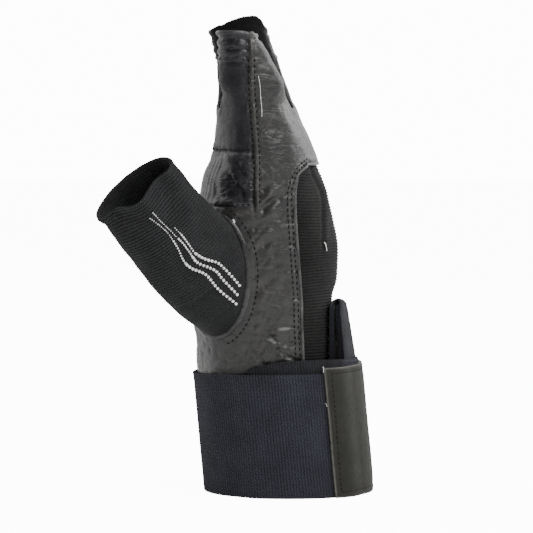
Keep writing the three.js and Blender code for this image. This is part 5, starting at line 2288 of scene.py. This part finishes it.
@dataclass
class Sewing:
    """Every visible row of stitches and loose thread."""

    form: HandForm
    thumb: ThumbStall
    knit: KnitBack
    wrap: WristWrap
    far: float = 200

    def build(self, finishes: Finishes, leather: Sequence[bpy.types.Object], thumb: bpy.types.Object,
              tab: bpy.types.Object, others: Sequence[bpy.types.Object]) -> None:
        """Sews the rows onto the finished pieces.

        Args:
            finishes: the materials.
            leather: pieces of the leather skin.
            thumb: the thumb stall.
            tab: the closing tab.
            others: further pieces that loose threads may lie on.
        """
        hand = Seat(leather)
        dark = StitchRow("dark_stitches", 1.7, 0.38, 2.5, 0.0)
        for side in (-1, 1):
            self.side_rows(hand, dark, side)
            self.window_rows(hand, dark, side)
        self.level_rows(hand, dark)
        self.binding_row(hand, dark)
        dark.build(finishes.dark_thread, "leather")
        coat = StitchRow("tab_stitches", 1.7, 0.26, 2.3, 0.05)
        seat = Seat([tab])
        for route in self.wrap.tab_stitches():
            spots = []
            for place in route:
                towards = np.array([self.wrap.wrap.foot_x, 0, place[2]]) - place
                found = seat.hit(place, towards)
                if found:
                    spots.append(found)
            coat.follow(spots)
        coat.build(finishes.dark_thread, "leatherette")
        on_thumb = Seat([thumb])
        for low, high, length, radius, pitch in BEAD_SIZES:
            beads = StitchRow(f"thumb_beads_{round(100 * low)}", length, radius, pitch, -0.1)
            for row in BEAD_ROWS:
                beads.follow(self.bead_row(on_thumb, row, low, high))
            beads.build(finishes.white_thread, "ribbed_knit")
        self.loose_threads(finishes, Seat([*leather, tab, *others]))

    def side_rows(self, hand: Seat, dark: StitchRow, side: int) -> None:
        """Two rows beside the side seam, from the pad to the cap."""
        stall = STALLS[0] if side < 0 else STALLS[-1]
        top = self.form.cap_seam(stall) + (1 if side < 0 else -1)
        levels = np.linspace(self.form.pad_seam + 1, top, 60)
        for off in Skin.row_offs:
            starts = np.stack([
                self.form.side_seam(levels) + off,
                np.full(60, side * self.far),
                levels,
            ], axis=1)
            dark.follow(hand.row(starts, (0, -side, 0)))

    def window_rows(self, hand: Seat, dark: StitchRow, side: int) -> None:
        """Two rows beside the edge of the knitted back."""
        edge = self.knit.window(side)
        for off in (1.6, 3.4):
            starts = edge.copy()
            starts[:, 0] -= off
            corner = ease(edge[:, 2], self.form.knit_top - 12, self.form.knit_top)
            starts[:, 2] += off * corner
            starts[:, 0] += off * corner
            starts[:, 1] = side * self.far
            dark.follow(hand.row(starts, (0, -side, 0)))

    def level_rows(self, hand: Seat, dark: StitchRow) -> None:
        """Rows along the level seams of the palm side."""
        angles = np.linspace(-8, 188, 150)
        for level in (self.form.gather_seam + 0.9, self.form.pad_seam + 1.0):
            base = self.form.point(angles, level)
            section = self.form.section(np.full(150, level))
            middle = np.stack([section.middle, 0 * section.middle, base[:, 2]], axis=1)
            starts = middle + 3 * (base - middle)
            spots = [hand.hit(start, mid - start) for start, mid in zip(starts, middle)]
            dark.follow([spot for spot in spots if spot is not None and spot[0][0] < self.form.side_seam_x])

    def binding_row(self, hand: Seat, dark: StitchRow) -> None:
        """A row in the leather round the thumb's binding."""
        turns = np.linspace(-75, 75, 90)
        edge = self.thumb.hole.edge(turns, 4.2)
        out = self.thumb.hole.out(turns)
        spots = [hand.hit(place + 6 * way, -way) for place, way in zip(edge, out)]
        dark.follow([spot for spot in spots if spot is not None])

    def bead_row(self, seat: Seat, row: Sequence[tuple], low: float, high: float) -> list[tuple]:
        """Places on the thumb stall along part of one light row.

        Args:
            seat: the thumb stall.
            row: shares along the stall and turns round it.
            low: where the part ends, as a share of the stall's length.
            high: where the part starts.

        Returns:
            Places with the surface's direction at each.
        """
        table = row[::-1]
        share = np.linspace(max(low, table[0][0]), min(high, table[-1][0]), 80)
        base = self.thumb.point(share, along(table, 1, share))
        middle = self.thumb.foot + self.thumb.run * share[:, None]
        starts = middle + 1.6 * (base - middle)
        spots = [seat.hit(start, mid - start) for start, mid in zip(starts, middle)]
        return [spot for spot in spots if spot is not None]

    def loose_threads(self, finishes: Finishes, seat: Seat) -> None:
        """Lays the loose white threads that the photograph shows."""
        for index, (top, foot, radius) in enumerate(LOOSE_THREADS):
            part = np.linspace(0, 1, 16)[:, None]
            flat = mix(np.array(top), np.array(foot), part)
            flat[:, 0] += 0.35 * np.sin(math.pi * part[:, 0]) + 0.1 * np.sin(9 * part[:, 0])
            starts = np.stack([flat[:, 0], np.full(16, -self.far), flat[:, 1]], axis=1)
            found = seat.row(starts, (0, 1, 0))
            route = np.array([place + 0.12 * out for place, out in found])
            thread = tube(f"loose_thread_{index}", route, radius, sides=6)
            dress(thread, finishes.white_thread, "leather")


# Ends of each loose thread, as X and Z seen from the thumb side, and its radius.
LOOSE_THREADS = (
    # top, foot, radius
    ((-10.7, 185.8), (-9.3, 168.0), 0.09),
    ((-21.9, 122.9), (-21.5, 121.6), 0.4),
    ((18.3, 112.4), (19.2, 108.6), 0.22),
    ((17.6, 57.8), (17.8, 55.6), 0.2),
    ((18.6, 41.8), (19.4, 40.6), 0.16),
)


def main() -> None:
    """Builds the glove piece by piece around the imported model."""
    logging.basicConfig(level=logging.INFO, format="%(name)s %(message)s")
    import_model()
    Studio().build()
    finishes = Finishes.make()
    form = HandForm()
    hole = ThumbHole(form)
    panels = Skin(form).build(finishes, hole)
    stall = ThumbStall(form, hole)
    thumb = stall.build(finishes)
    stall.binding(finishes)
    knit = KnitBack(form)
    back = knit.build(finishes)
    knit.rim(finishes)
    wrap = WristWrap(form.wrap)
    band = wrap.band(finishes)
    tab = wrap.tab(finishes)
    PullLoop(form).build(finishes)
    leather = [piece for panel, piece in panels.items() if panel not in GUSSETS]
    Sewing(form, stall, knit, wrap).build(finishes, leather, thumb, tab, [back, band])


if __name__ == "__main__":
    main()
